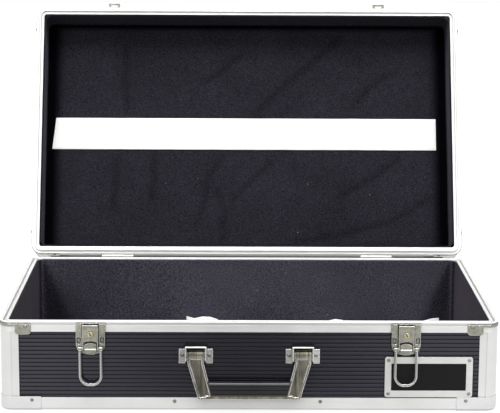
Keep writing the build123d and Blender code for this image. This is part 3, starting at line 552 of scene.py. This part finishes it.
def paint_lining_shading(tree, shader, tone, amount):
    """The tone, with painted shade where the attribute is above 0 and painted light where it is
    below, and the sheen changed with it.
    """
    mark = add(tree, "ShaderNodeAttribute", attribute_name="painted_shading")["Fac"]
    falling = {0: mark, 1: -amount, 2: 1.0}
    upright = add(tree, "ShaderNodeMath", falling, operation="MULTIPLY_ADD")[0]
    weight = shader.inputs["Sheen Weight"].default_value
    sheen = add(tree, "ShaderNodeMath", {0: upright, 1: weight}, operation="MULTIPLY")[0]
    tree.links.new(sheen, shader.inputs["Sheen Weight"])
    return add(tree, "ShaderNodeMath", {0: tone, 1: upright}, operation="MULTIPLY")[0]


def strew_lint(tree, place, colour):
    """A colour with small pale specks on it."""
    cells = {"Vector": place, "Scale": per_metre(LINT_SPACING)}
    away = add(tree, "ShaderNodeTexVoronoi", cells)["Distance"]
    ranges = {"From Min": LINT_SIZE, "From Max": 2 * LINT_SIZE}
    ranges |= {"To Min": LINT_CATCH, "To Max": 0.0}
    speck = add(tree, "ShaderNodeMapRange", {"Value": away, **ranges})["Result"]
    colours = {0: speck, 6: colour, 7: linear("#b4b4b4")}
    return add(tree, "ShaderNodeMix", colours, data_type="RGBA")[2]


print("a speck of lint is", round(2 * LINT_SIZE * LINT_SPACING, 2), "mm wide")

# %% [markdown]
# ### The two cloths
#
# The lining is near black with a grey bloom, and a little sheen where it turns away. The tape is
# white, nearly flat, and barely shows its weave. One recipe makes them both, with the painted
# shading and the lint for the lining alone.

# %% Lining and tape


def cloth(name, dark, light, tones, roughness, fibre, strength, painted_shading=0.0, **constants):
    """A cloth between two colours, which can carry painted shading and hold lint."""
    material, tree, shader, place = start_material(name, roughness, **constants)
    fibres, tone = weave(tree, place, fibre, tones)
    # Painted shade, and painted light, from the lining's attribute.
    if painted_shading:
        tone = paint_lining_shading(tree, shader, tone, painted_shading)
    colours = {0: tone, 6: linear(dark), 7: linear(light)}
    colour = add(tree, "ShaderNodeMix", colours, data_type="RGBA")[2]
    if painted_shading:
        colour = strew_lint(tree, place, colour)
    tree.links.new(colour, shader.inputs["Base Color"])
    height = {"Height": fibres, "Strength": strength, "Distance": NAP_HEIGHT}
    raised = add(tree, "ShaderNodeBump", height)["Normal"]
    tree.links.new(raised, shader.inputs["Normal"])
    return material


# Woven tape: flat white, with a faint tooth.
tape_white = cloth(
    "white_tape", dark="#f8f8f6", light="#ffffff", tones=(0.3, 0.8), roughness=0.7,
    fibre=0.55556, strength=0.1,
)
# Napped cloth: a soft grey bloom over black, with painted shade in its folds, and no gloss at all.
lining = cloth(
    "napped_lining", dark="#030204", light="#676572", tones=(0.27, 0.375), roughness=0.95,
    fibre=0.66667, strength=0.5, painted_shading=0.95, Sheen_Weight=0.1, Sheen_Roughness=0.4,
    Sheen_Tint=linear("#e8dcec"), Specular_IOR_Level=0.0,
)
print("made", len(bpy.data.materials), "materials")

# %% [markdown]
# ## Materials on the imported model
#
# Each rigid piece gets the material of what it really is. They could be picked by hand, but their
# names say what they are. So a table goes from a part of a name to its material. The rims need to
# know which way they run, and what is not in the table is nickel plated.

# %% The materials of the parts
BY_PART = {
    "_panel": board,
    "edge_extrusions": extrusion_x,
    "corner_posts": extrusion_z,
    "corner_caps": cap_metal,
    "rivets": rivet_metal,
    "hinge_": hinge_steel,
    "key_cylinder": brass,
    "latch_loop": wire_chrome,
    "handle_bracket": bright_chrome,
    "handle_frame": chrome,
    "handle_grip": grip_black,
    "badge_frame": badge_metal,
    "badge_insert": badge_black,
    "back_feet": rubber,
    "_lining": lining,
    "_tape": tape_white,
}
print(len(BY_PART), "parts of names have a material")

# %% Give each piece its material


def material_of(name):
    """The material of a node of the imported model."""
    if "_rim_" in name:
        return extrusion_x if name.endswith(("front", "back")) else extrusion_y
    for part, material in BY_PART.items():
        if part in name:
            return material
    return steel


for name, node in nodes.items():
    chosen = material_of(name)
    if not node.material_slots:
        node.data.materials.append(chosen)
    for place in node.material_slots:
        place.material = chosen
print("nickel plated:", [name for name in nodes if material_of(name) is steel])

# %% [markdown]
# ## The linings' tray
#
# Each shell is lined with a tray of fabric-faced foam: four walls and a floor, soft where they
# meet. It could be swept, but a box without its top is quicker. Its upright and lower edges are
# rounded, and planes slice it into small squares, so that the cloth can be pressed in between its
# corners.

# %% Round and slice a mesh
HAIR = 1e-7  # points this close to a cut are on it


def round_edges(bm, edges, radius, segments):
    """Rounds edges off."""
    size = {"offset": radius, "offset_type": "OFFSET", "segments": segments}
    bmesh.ops.bevel(bm, geom=edges, affect="EDGES", profile=0.5, material=-1, **size)


def slice_up(bm, low, high, step):
    """Cuts a mesh into squares by planes across X, Y and Z."""
    for axis in range(3):
        normal = [0, 0, 0]
        normal[axis] = 1
        cuts = int((high[axis] - low[axis]) / step)
        for i in range(1, cuts):
            place = [0, 0, 0]
            place[axis] = low[axis] + i * (high[axis] - low[axis]) / cuts
            everything = bm.verts[:] + bm.edges[:] + bm.faces[:]
            bmesh.ops.bisect_plane(bm, geom=everything, dist=HAIR, plane_co=place, plane_no=normal)


print("cuts are good to", HAIR, "m")

# %% Make a box without its top
SLICE = 5 * MM
FOLD_ROUND = 5 * MM  # between the walls and the floor
UPRIGHT_STEPS, FOLD_STEPS = 8, 4
LEVEL = 1e-5  # heights this close together are the same
LINING_WIDTH, LINING_DEPTH = CASE_WIDTH - 2 * LINING_FACE, CASE_DEPTH - 2 * LINING_FACE


def make_tray(top):
    """A tray from the floor of the lining to a height, whose faces look inwards."""
    width, depth = LINING_WIDTH, LINING_DEPTH
    bm = bmesh.new()
    bmesh.ops.create_cube(bm, size=1)
    bmesh.ops.scale(bm, vec=(width, depth, top - FLOOR_TOP), verts=bm.verts)
    bmesh.ops.translate(bm, vec=(0, 0, (top + FLOOR_TOP) / 2), verts=bm.verts)
    top_face = max(bm.faces, key=lambda face: face.calc_center_median().z)
    bmesh.ops.delete(bm, geom=[top_face], context="FACES_ONLY")
    upright = [edge for edge in bm.edges if abs(edge.verts[0].co.z - edge.verts[1].co.z) > LEVEL]
    round_edges(bm, upright, LINING_RADIUS, UPRIGHT_STEPS)
    at_floor = {vert for vert in bm.verts if vert.co.z < FLOOR_TOP + LEVEL}
    low_edges = [edge for edge in bm.edges if at_floor.issuperset(edge.verts)]
    round_edges(bm, low_edges, FOLD_ROUND, FOLD_STEPS)
    slice_up(bm, (-width / 2, -depth / 2, FLOOR_TOP), (width / 2, depth / 2, top), SLICE)
    bmesh.ops.recalc_face_normals(bm, faces=bm.faces)
    floor_face = min(bm.faces, key=lambda face: face.calc_center_median().length_squared)
    if floor_face.normal.z < 0:
        bmesh.ops.reverse_faces(bm, faces=bm.faces)
    bm.normal_update()
    return bm


print("trays of", round(LINING_WIDTH, 4), "by", round(LINING_DEPTH, 4), "m")

# %% [markdown]
# ## Painted shading on the lining
#
# A case that has been used shows it on its lining. The cloth is creased where a heavy thing lay,
# and the creases and the gutters beside the walls get painted shade. The base's walls get painted
# light, with a painted shadow as a dark wedge beside each upright corner. Sculpting these would be
# slow to redo. A short formula for each gives a number from 0, no painted shade, to 1, full painted
# shade, and below 0 for painted light.

# %% Distances and fading
MOSTLY_FULL = 1.5  # a fade stays at 1 for the first third of its reach


def distance_to_line(x, y, line):
    """How far a point lies from a line of points."""
    nearest = 1.0
    for (ax, ay), (bx, by) in zip(line, line[1:]):
        dx, dy = bx - ax, by - ay
        along = max(0.0, min(1.0, ((x - ax) * dx + (y - ay) * dy) / (dx * dx + dy * dy)))
        nearest = min(nearest, hypot(x - ax - along * dx, y - ay - along * dy))
    return nearest


def fade_out(gap, reach):
    """1 where the gap is small, falling smoothly to 0 where it is the whole reach."""
    near = max(0.0, min(1.0, MOSTLY_FULL * (1 - gap / reach)))
    return near * near * (3 - 2 * near)


print("half way, a fade is at", fade_out(0.5, 1))

# %% Creases, gutters and wedges
# Painted shade in the creases and gutters, painted light on the base's walls, and a painted shadow
# wedge beside each upright corner.
CREASE_DEPTH, CREASE_HALF, CREASE_SHADE = 1.1 * MM, 5.0 * MM, 0.3
SIDE_GUTTER, END_GUTTER = 26 * MM, 9 * MM  # painted shade beside the side walls, and the front and back walls
PAINTED_WALL_LIGHT = -2.0  # painted light on the base's front and back walls
SIDE_WALL_SHADE = 0.04  # painted shade on its side walls, for each unit of painted light on the others
CORNER_LIT = 6 * MM  # a painted shadow wedge starts this far from its corner
CORNER_SHADE = 42 * MM  # and is this wide at the floor, and nothing at the top
WEDGE_DARK, WEDGE_HAZE = 0.65, 0.3
WEDGE_BLUR, HAZE_REACH = 0.75, 2.6  # of the wedge's width


def floor_shading(side_gap, end_gap, crease):
    """How much painted shade the floor gets, in its gutters beside the walls and in its creases."""
    gutters = max(fade_out(side_gap, SIDE_GUTTER), fade_out(end_gap, END_GUTTER))
    return max(gutters, CREASE_SHADE * crease)


def wall_shading(side_gap, end_gap, depth, wall_light):
    """The painted light or shade on a wall, with a painted shadow wedge near each corner, at a
    depth from 0 at its top to 1 at the floor.
    """
    if end_gap >= side_gap:
        return SIDE_WALL_SHADE * abs(wall_light)
    reach = CORNER_SHADE * depth + MM
    dark = WEDGE_DARK * fade_out(abs(side_gap - CORNER_LIT - reach / 2), WEDGE_BLUR * reach)
    shade = dark + WEDGE_HAZE * fade_out(side_gap, HAZE_REACH * reach) if end_gap < MM else 0.0
    return wall_light * (1 - shade)


print("a crease is", CREASE_DEPTH / MM, "mm deep")

# %% [markdown]
# ## Press the cloth
#
# The foam gives under the cloth, so no wall or floor of it is flat. A sculpted or simulated cloth
# would look alive, and could stray out through the case. Here each point of the tray only ever
# moves into the foam, by a slow noise and by its creases, and keeps its painted light or shade.

# %% Move the tray's points
WAVES = 14  # the slow noise turns about this many times in a metre
WAVE_DEPTH, WAVE_RISE = 0.5 * MM, 0.5
APART = 90  # takes the two linings to different parts of the noise


def press_cloth(bm, top, height, creases, wall_light):
    """Presses a tray in by its creases and by slow waves, and stores the painted light and shade at
    each point.
    """
    # Each point keeps its painted light or shade in an attribute.
    painted_shading = bm.verts.layers.float.new("painted_shading")
    for vert in bm.verts:
        x, y, z = vert.co
        side_gap, end_gap = LINING_WIDTH / 2 - abs(x), LINING_DEPTH / 2 - abs(y)
        if z < FLOOR_TOP + FOLD_ROUND / 2:
            lines = [distance_to_line(x, y, line) / CREASE_HALF for line in creases]
            depths = [exp(-(away**2)) for away in lines]
            vert.co -= vert.normal * CREASE_DEPTH * sum(depths)
            vert[painted_shading] = floor_shading(side_gap, end_gap, max(depths, default=0.0))
        else:
            depth = (top - z) / (top - FLOOR_TOP)
            vert[painted_shading] = wall_shading(side_gap, end_gap, depth, wall_light)
        if z <= top - MM:
            place = Vector((x * WAVES, y * WAVES, z * WAVES + height * APART))
            wave = max(0.0, noise.noise(place) + WAVE_RISE)
            vert.co -= vert.normal * wave * WAVE_DEPTH


print("waves of about", round(1 / (WAVES * MM)), "mm")

# %% [markdown]
# ## Make a piece
#
# A mesh becomes a piece of the case when it has an object, a material, and a body to move with.
# The node it stands for is hidden, and it is attached to the body it rides on. Every soft piece
# needs them all, so one function makes them.

# %% A tool for pieces


def finish_mesh(bm, name, body, material, node):
    """Makes an object of a mesh, smooth, on its body and in the place of its node."""
    mesh = bpy.data.meshes.new(name)
    bm.to_mesh(mesh)
    bm.free()
    mesh.materials.append(material)
    mesh.shade_smooth()
    piece = bpy.data.objects.new(name, mesh)
    scene.collection.objects.link(piece)
    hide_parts(node)
    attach(piece, body)
    return piece


def soften_edge(piece, name, width):
    """Rounds a piece's cut edges off with a modifier."""
    edge = piece.modifiers.new(name, "BEVEL")
    edge.width, edge.segments, edge.limit_method = width, 2, "ANGLE"


print("soft pieces replace", [name for name in nodes if name.endswith(("_lining", "_tape"))])

# %% [markdown]
# ## The two linings
#
# The lid's lining and the base's differ in depth, in their creases and in the painted light on
# their walls. The creases could come from a cloth simulation, but then they would fall anywhere.
# They are drawn as lines of points instead. One modifier gives the tray the thickness of its foam,
# and another softens its cut edge.

# %% Make the linings
FOAM = 2.1 * MM
FOAM_EDGE = 0.6 * MM
# Where the lid's cloth is creased, on the closed lid, in millimetres from its middle.
LID_CREASES = [
    [(135, -149), (106, -119), (51, -74), (15, -36)],
    [(-10, -121), (-39, -96), (-58, -81)],
    [(215, -97), (178, -74), (152, -44)],
    [(-176, -130), (-174, -40)],
    [(-38, 34), (-57, 64), (-61, 100), (-74, 129)],
    [(-43, 78), (-32, 110), (-35, 151)],
    [(36, 37), (15, 56), (-21, 93)],
    [(-133, 30), (-133, 57), (-137, 93)],
    [(-186, 31), (-188, 72), (-192, 108)],
    [(216, 34), (177, 63), (136, 85)],
    [(258, 92), (212, 121), (140, 143), (69, 153)],
]


def make_lining(name, body, node, height, place, creases, wall_light):
    """A lining, drawn with its open side up and carried to its shell."""
    top = height - LINING_DROP
    bm = make_tray(top)
    press_cloth(bm, top, height, creases, wall_light)
    bmesh.ops.transform(bm, matrix=place, verts=bm.verts)
    piece = finish_mesh(bm, name, body, lining, node)
    solid = piece.modifiers.new("foam", "SOLIDIFY")
    solid.thickness, solid.offset = FOAM, -1
    soften_edge(piece, "soft_edge", FOAM_EDGE)
    print(name, "has", len(piece.data.polygons), "faces")


creases = [[(x * MM, -y * MM) for x, y in line] for line in LID_CREASES]
make_lining("lid_lining_cloth", "lid", "lid_lining", LID_HEIGHT, LID_PLACE, creases, 0.0)
make_lining("base_lining_cloth", "base", "base_lining", BASE_HEIGHT, STILL, [], PAINTED_WALL_LIGHT)

# %% [markdown]
# ## White strips
#
# Self-adhesive textile strips, limp and about a millimetre thick, hold the pedals down. They
# could be thin boxes, but a box cannot follow a curved cloth. Each is a grid of small squares
# laid a tenth of a millimetre above what it is stuck to, and a modifier thickens it on the side
# that its faces look to.

# %% Tools for strips
STRIP = 1.0 * MM
STRIP_LIFT = 0.1 * MM
STRIP_EDGE = 0.25 * MM


def strip_grid(across, along):
    """A flat grid of squares, from 0 to 1 both ways."""
    bm = bmesh.new()
    bmesh.ops.create_grid(bm, x_segments=across, y_segments=along, size=0.5)
    bmesh.ops.translate(bm, vec=(0.5, 0.5, 0), verts=bm.verts)
    return bm


def thicken(piece):
    """Gives a strip its thickness, and softens its cut edge."""
    solid = piece.modifiers.new("thickness", "SOLIDIFY")
    solid.thickness, solid.offset = STRIP, 1
    soften_edge(piece, "cut_edge", STRIP_EDGE)


print("strips are", STRIP / MM, "mm thick")

# %% [markdown]
# ### The strip on the lid
#
# One strip runs across the lid. Its left end is cut at a slant, and the corner of that end has
# begun to peel. A cloth simulation could peel it, but a rise that grows towards the corner is
# steadier. A faint waver along its edges keeps it from looking ruled.

# %% Make the lid's strip
LID_STRIP = (-279.0 * MM, 272.0 * MM, -26.5 * MM, 19.5 * MM)  # left, right, front and back
LID_STRIP_SLANT = 5.0 * MM
LID_STRIP_SQUARES = (110, 10)
WAVER, WAVER_TURNS = 0.25 * MM, 30
PEEL_LENGTH, PEEL_HEIGHT = 14 * MM, 3.0 * MM
PEEL_FROM, PEEL_CURVE = 0.35, 1.6  # where it starts across the strip, and how sharply it curls


def make_lid_strip():
    """The strip across the lid, drawn on the upturned lid like its lining."""
    left, right, front, back = LID_STRIP
    bm = strip_grid(*LID_STRIP_SQUARES)
    for vert in bm.verts:
        u, v, _ = vert.co
        start = left + LID_STRIP_SLANT * (1 - v)
        x = start + u * (right - start)
        y = front + v * (back - front)
        y += WAVER * noise.noise(Vector((x * WAVER_TURNS, v * 2, 3.0)))
        peel = max(0.0, 1 - (x - left) / PEEL_LENGTH) * max(0.0, v - PEEL_FROM)
        vert.co = (x, -y, FLOOR_TOP + STRIP_LIFT + PEEL_HEIGHT * peel**PEEL_CURVE)
    bmesh.ops.reverse_faces(bm, faces=bm.faces)
    bmesh.ops.transform(bm, matrix=LID_PLACE, verts=bm.verts)
    piece = finish_mesh(bm, "lid_strip_cloth", "lid", tape_white, "lid_tape")
    thicken(piece)


make_lid_strip()

# %% [markdown]
# ### The strips on the floor
#
# Three strips run from front to back on the floor of the base. Each was cut too long, so its end
# turns up the back wall, at a ragged height. A curve modifier could bend the grid. It is simpler
# to take a length along the strip and ask where it has got to: on the floor, in the bend or up
# the wall.

# %% Where a strip climbs
FLOOR_STRIPS = (-62 * MM, 112 * MM, 246 * MM)
FLOOR_STRIP_WIDTH, FLOOR_STRIP_FRONT = 44 * MM, -150 * MM
FLOOR_STRIP_SQUARES = (12, 90)
WALL_GAP = 1.6 * MM  # from the back wall's lining to the strip's back
CLIMB_ROUND = 6 * MM
BEND = CLIMB_ROUND * pi / 2
# How far each strip climbs the wall, in millimetres, at even places from its left to its right.
CLIMBS = (
    (20.0, 17.0, 19.5, 19.0, 15.5),
    (12.0, 13.0, 13.5, 16.5, 15.0),
    (10.0, 12.0, 14.0, 17.5, 18.5),
)


def climb_path(length, foot):
    """How far back and up a length along a strip has got, if its bend starts at the foot."""
    if length < foot:
        return length, 0.0
    if length < foot + BEND:
        turn = (length - foot) / CLIMB_ROUND
        return foot + CLIMB_ROUND * sin(turn), CLIMB_ROUND * (1 - cos(turn))
    return foot + CLIMB_ROUND, CLIMB_ROUND + length - foot - BEND


def between(values, place):
    """The value at a place from 0 to 1 along evenly spaced values."""
    step = min(int(place * (len(values) - 1)), len(values) - 2)
    part = place * (len(values) - 1) - step
    return values[step] + part * (values[step + 1] - values[step])


print("a strip's bend is", round(BEND / MM, 1), "mm long")

# %% Make the floor's strips


def make_floor_strip(name, x, climbs):
    """One strip along the floor that turns up the back wall."""
    wall_y = CASE_DEPTH / 2 - LINING_FACE - WALL_GAP
    foot = wall_y - CLIMB_ROUND - FLOOR_STRIP_FRONT
    to_wall = foot + BEND - CLIMB_ROUND
    bm = strip_grid(*FLOOR_STRIP_SQUARES)
    for vert in bm.verts:
        u, v, _ = vert.co
        y, z = climb_path(v * (to_wall + between(climbs, u) * MM), foot)
        across = x + (u - 0.5) * FLOOR_STRIP_WIDTH
        vert.co = (across, FLOOR_STRIP_FRONT + y, FLOOR_TOP + STRIP_LIFT + z)
    piece = finish_mesh(bm, name, "base", tape_white, "floor_tape")
    thicken(piece)


for index, (x, climbs) in enumerate(zip(FLOOR_STRIPS, CLIMBS)):
    make_floor_strip(f"floor_strip_cloth_{index + 1}", x, climbs)

# %% [markdown]
# ## What is seen white
#
# The case stands in front of plain white. Lamps strong enough to turn the floor and the
# background white would burn out the pale metal. So both glow, and only for the rays that look at
# them: the camera's own, and to some degree those that a mirror sends.

# %% A tool for what is seen
CAMERA_SIDE_DIM = 0.07  # how bright mirrors see the room behind the camera


def seen(tree, in_mirrors):
    """1 for the camera's own rays, the given strength for mirrors, else 0."""
    path = add(tree, "ShaderNodeLightPath")
    own = {0: path["Is Camera Ray"], 1: path["Is Transmission Ray"]}
    straight = add(tree, "ShaderNodeMath", own, operation="MAXIMUM")[0]
    sent = {0: path["Is Glossy Ray"], 1: in_mirrors}
    mirrored = add(tree, "ShaderNodeMath", sent, operation="MULTIPLY")[0]
    both = {0: straight, 1: mirrored}
    return add(tree, "ShaderNodeMath", both, operation="MAXIMUM")[0]


print("mirrors see the camera's side at", CAMERA_SIDE_DIM)

# %% [markdown]
# ## Floor
#
# The floor is a large pale sheet a fifth of a millimetre under the case, so that nothing flickers
# where they meet. It takes a soft shadow, and its glow is weaker near the case, which lets that
# shadow show. In mirrors it goes dark in front of the case's middle, as if a studio's black card
# lay there, and that gives the chrome its dark bands.

# %% The floor's glow
GLOW_NEAR, GLOW_FAR = 0.82, 1.0
GLOW_FROM, GLOW_TO = 0.7, 2.2  # metres from the case's middle
CARD_FULL, CARD_END = 0.04, 0.26  # metres to either side of the middle
CARD_FRONT, CARD_BACK = -0.3, -0.16


def floor_glow(tree, place):
    """How strongly the floor glows where it is seen."""
    away = add(tree, "ShaderNodeVectorMath", {0: place}, operation="LENGTH")["Value"]
    ranges = {"From Min": GLOW_FROM, "From Max": GLOW_TO, "To Min": GLOW_NEAR, "To Max": GLOW_FAR}
    glow = add(tree, "ShaderNodeMapRange", {"Value": away, **ranges})["Result"]
    parts = add(tree, "ShaderNodeSeparateXYZ", {0: place})
    aside = add(tree, "ShaderNodeMath", {0: parts["X"]}, operation="ABSOLUTE")[0]
    ranges = {"From Min": CARD_FULL, "From Max": CARD_END}
    ranges |= {"To Min": 1 - CAMERA_SIDE_DIM, "To Max": 0.0}
    dim = add(tree, "ShaderNodeMapRange", {"Value": aside, **ranges})["Result"]
    ranges = {"From Min": CARD_FRONT, "From Max": CARD_BACK, "To Min": 1.0, "To Max": 0.0}
    front = add(tree, "ShaderNodeMapRange", {"Value": parts["Y"], **ranges})["Result"]
    card = add(tree, "ShaderNodeMath", {0: dim, 1: front}, operation="MULTIPLY")[0]
    inverse = {0: card, 1: -1.0, 2: 1.0}
    mirrored = add(tree, "ShaderNodeMath", inverse, operation="MULTIPLY_ADD")[0]
    both = {0: glow, 1: seen(tree, mirrored)}
    return add(tree, "ShaderNodeMath", both, operation="MULTIPLY")[0]


print("the floor glows from", GLOW_NEAR, "to", GLOW_FAR)

# %% Make the floor
FLOOR_HALF, FLOOR_DROP = 6, 0.2 * MM
MOTTLE_SIZE = 333.3  # millimetres


def make_floor():
    """A pale floor, lit a little from within where it is seen."""
    bm = bmesh.new()
    bmesh.ops.create_grid(bm, x_segments=1, y_segments=1, size=FLOOR_HALF)
    mesh = bpy.data.meshes.new("floor")
    bm.to_mesh(mesh)
    bm.free()
    floor = bpy.data.objects.new("floor", mesh)
    floor.location = (0, 0, -FLOOR_DROP)
    scene.collection.objects.link(floor)
    material, tree, shader, place = start_material("pale_floor", 0.9, Specular_IOR_Level=0.0)
    mottle = {"Vector": place, "Scale": per_metre(MOTTLE_SIZE), "Detail": 4.0, "Roughness": 0.6}
    grey = add(tree, "ShaderNodeTexNoise", mottle)["Fac"]
    tone = add(tree, "ShaderNodeMapRange", {"Value": grey, **GREYS})["Result"]
    colours = {0: tone, 6: linear("#868686"), 7: linear("#8e8e8e")}
    colour = add(tree, "ShaderNodeMix", colours, data_type="RGBA")[2]
    tree.links.new(colour, shader.inputs["Base Color"])
    shader.inputs["Emission Color"].default_value = WHITE
    tree.links.new(floor_glow(tree, place), shader.inputs["Emission Strength"])
    mesh.materials.append(material)


make_floor()
print("floor of", 2 * FLOOR_HALF, "m")

# %% [markdown]
# ## World
#
# The world is white where the camera looks past the floor, and an even grey light on everything
# else. It could be an image of a studio, but a few ranges of direction do the same and load
# nothing. Mirrors see it white overhead and behind the case, and dim on the camera's side.

# %% Make the world
WORLD_LIGHT = 0.4
BEHIND_CAMERA, BESIDE_CAMERA = -0.95, -0.1  # of the direction's Y
LEVEL_END, OVERHEAD = 0.1, 0.45  # of the direction's Z


def make_world():
    """A white world where it is seen, dimmer in mirrors on the camera's side."""
    world = bpy.data.worlds.new("studio")
    world.use_nodes = True
    scene.world = world
    tree = world.node_tree
    tree.nodes.clear()
    towards = add(tree, "ShaderNodeTexCoord")["Generated"]
    parts = add(tree, "ShaderNodeSeparateXYZ", {0: towards})
    ranges = {"From Min": BEHIND_CAMERA, "From Max": BESIDE_CAMERA, "To Min": CAMERA_SIDE_DIM}
    level = add(tree, "ShaderNodeMapRange", {"Value": parts["Y"], **ranges})["Result"]
    ranges = {"From Min": LEVEL_END, "From Max": OVERHEAD, "To Min": CAMERA_SIDE_DIM}
    above = add(tree, "ShaderNodeMapRange", {"Value": parts["Z"], **ranges})["Result"]
    brighter = add(tree, "ShaderNodeMath", {0: level, 1: above}, operation="MAXIMUM")[0]
    ranges = {"Value": seen(tree, brighter), "To Min": WORLD_LIGHT}
    strength = add(tree, "ShaderNodeMapRange", ranges)["Result"]
    light = add(tree, "ShaderNodeBackground", {"Color": WHITE, "Strength": strength})
    add(tree, "ShaderNodeOutputWorld", {"Surface": light[0]})


make_world()
print("world light", WORLD_LIGHT)

# %% [markdown]
# ## Lights
#
# One large soft light overhead gives the shadow under the case and the broad light on its top
# edges. Two weak ones on the camera's side lift its front. Small lamps would draw hard shadows in
# the lining, and lights wider than the case do not.

# %% Make the lights


def make_light(name, place, target, size, power):
    """A soft rectangular light that faces a point."""
    data = bpy.data.lights.new(name, "AREA")
    data.shape = "RECTANGLE"
    data.size, data.size_y = size
    data.energy = power
    light = bpy.data.objects.new(name, data)
    light.location = place
    light.rotation_euler = (Vector(target) - Vector(place)).to_track_quat("-Z", "Y").to_euler()
    scene.collection.objects.link(light)
    print(name, power, "W")


TOP_OF_BASE, INTO_LID = (0, 0, 0.1), (0, 0.1, 0.2)
make_light("overhead", (0, -0.3, 2.2), TOP_OF_BASE, (2.4, 1.4), power=62)
make_light("front_left", (-1.3, -2.1, 1.5), INTO_LID, (1.2, 1.2), power=14)
make_light("front_right", (1.4, -2.1, 1.3), INTO_LID, (1.2, 1.2), power=10)

# %% [markdown]
# ## Finish
#
# The standard view keeps white as white. A filmic one would turn it grey.

# %% Finish
scene.view_settings.view_transform = "Standard"
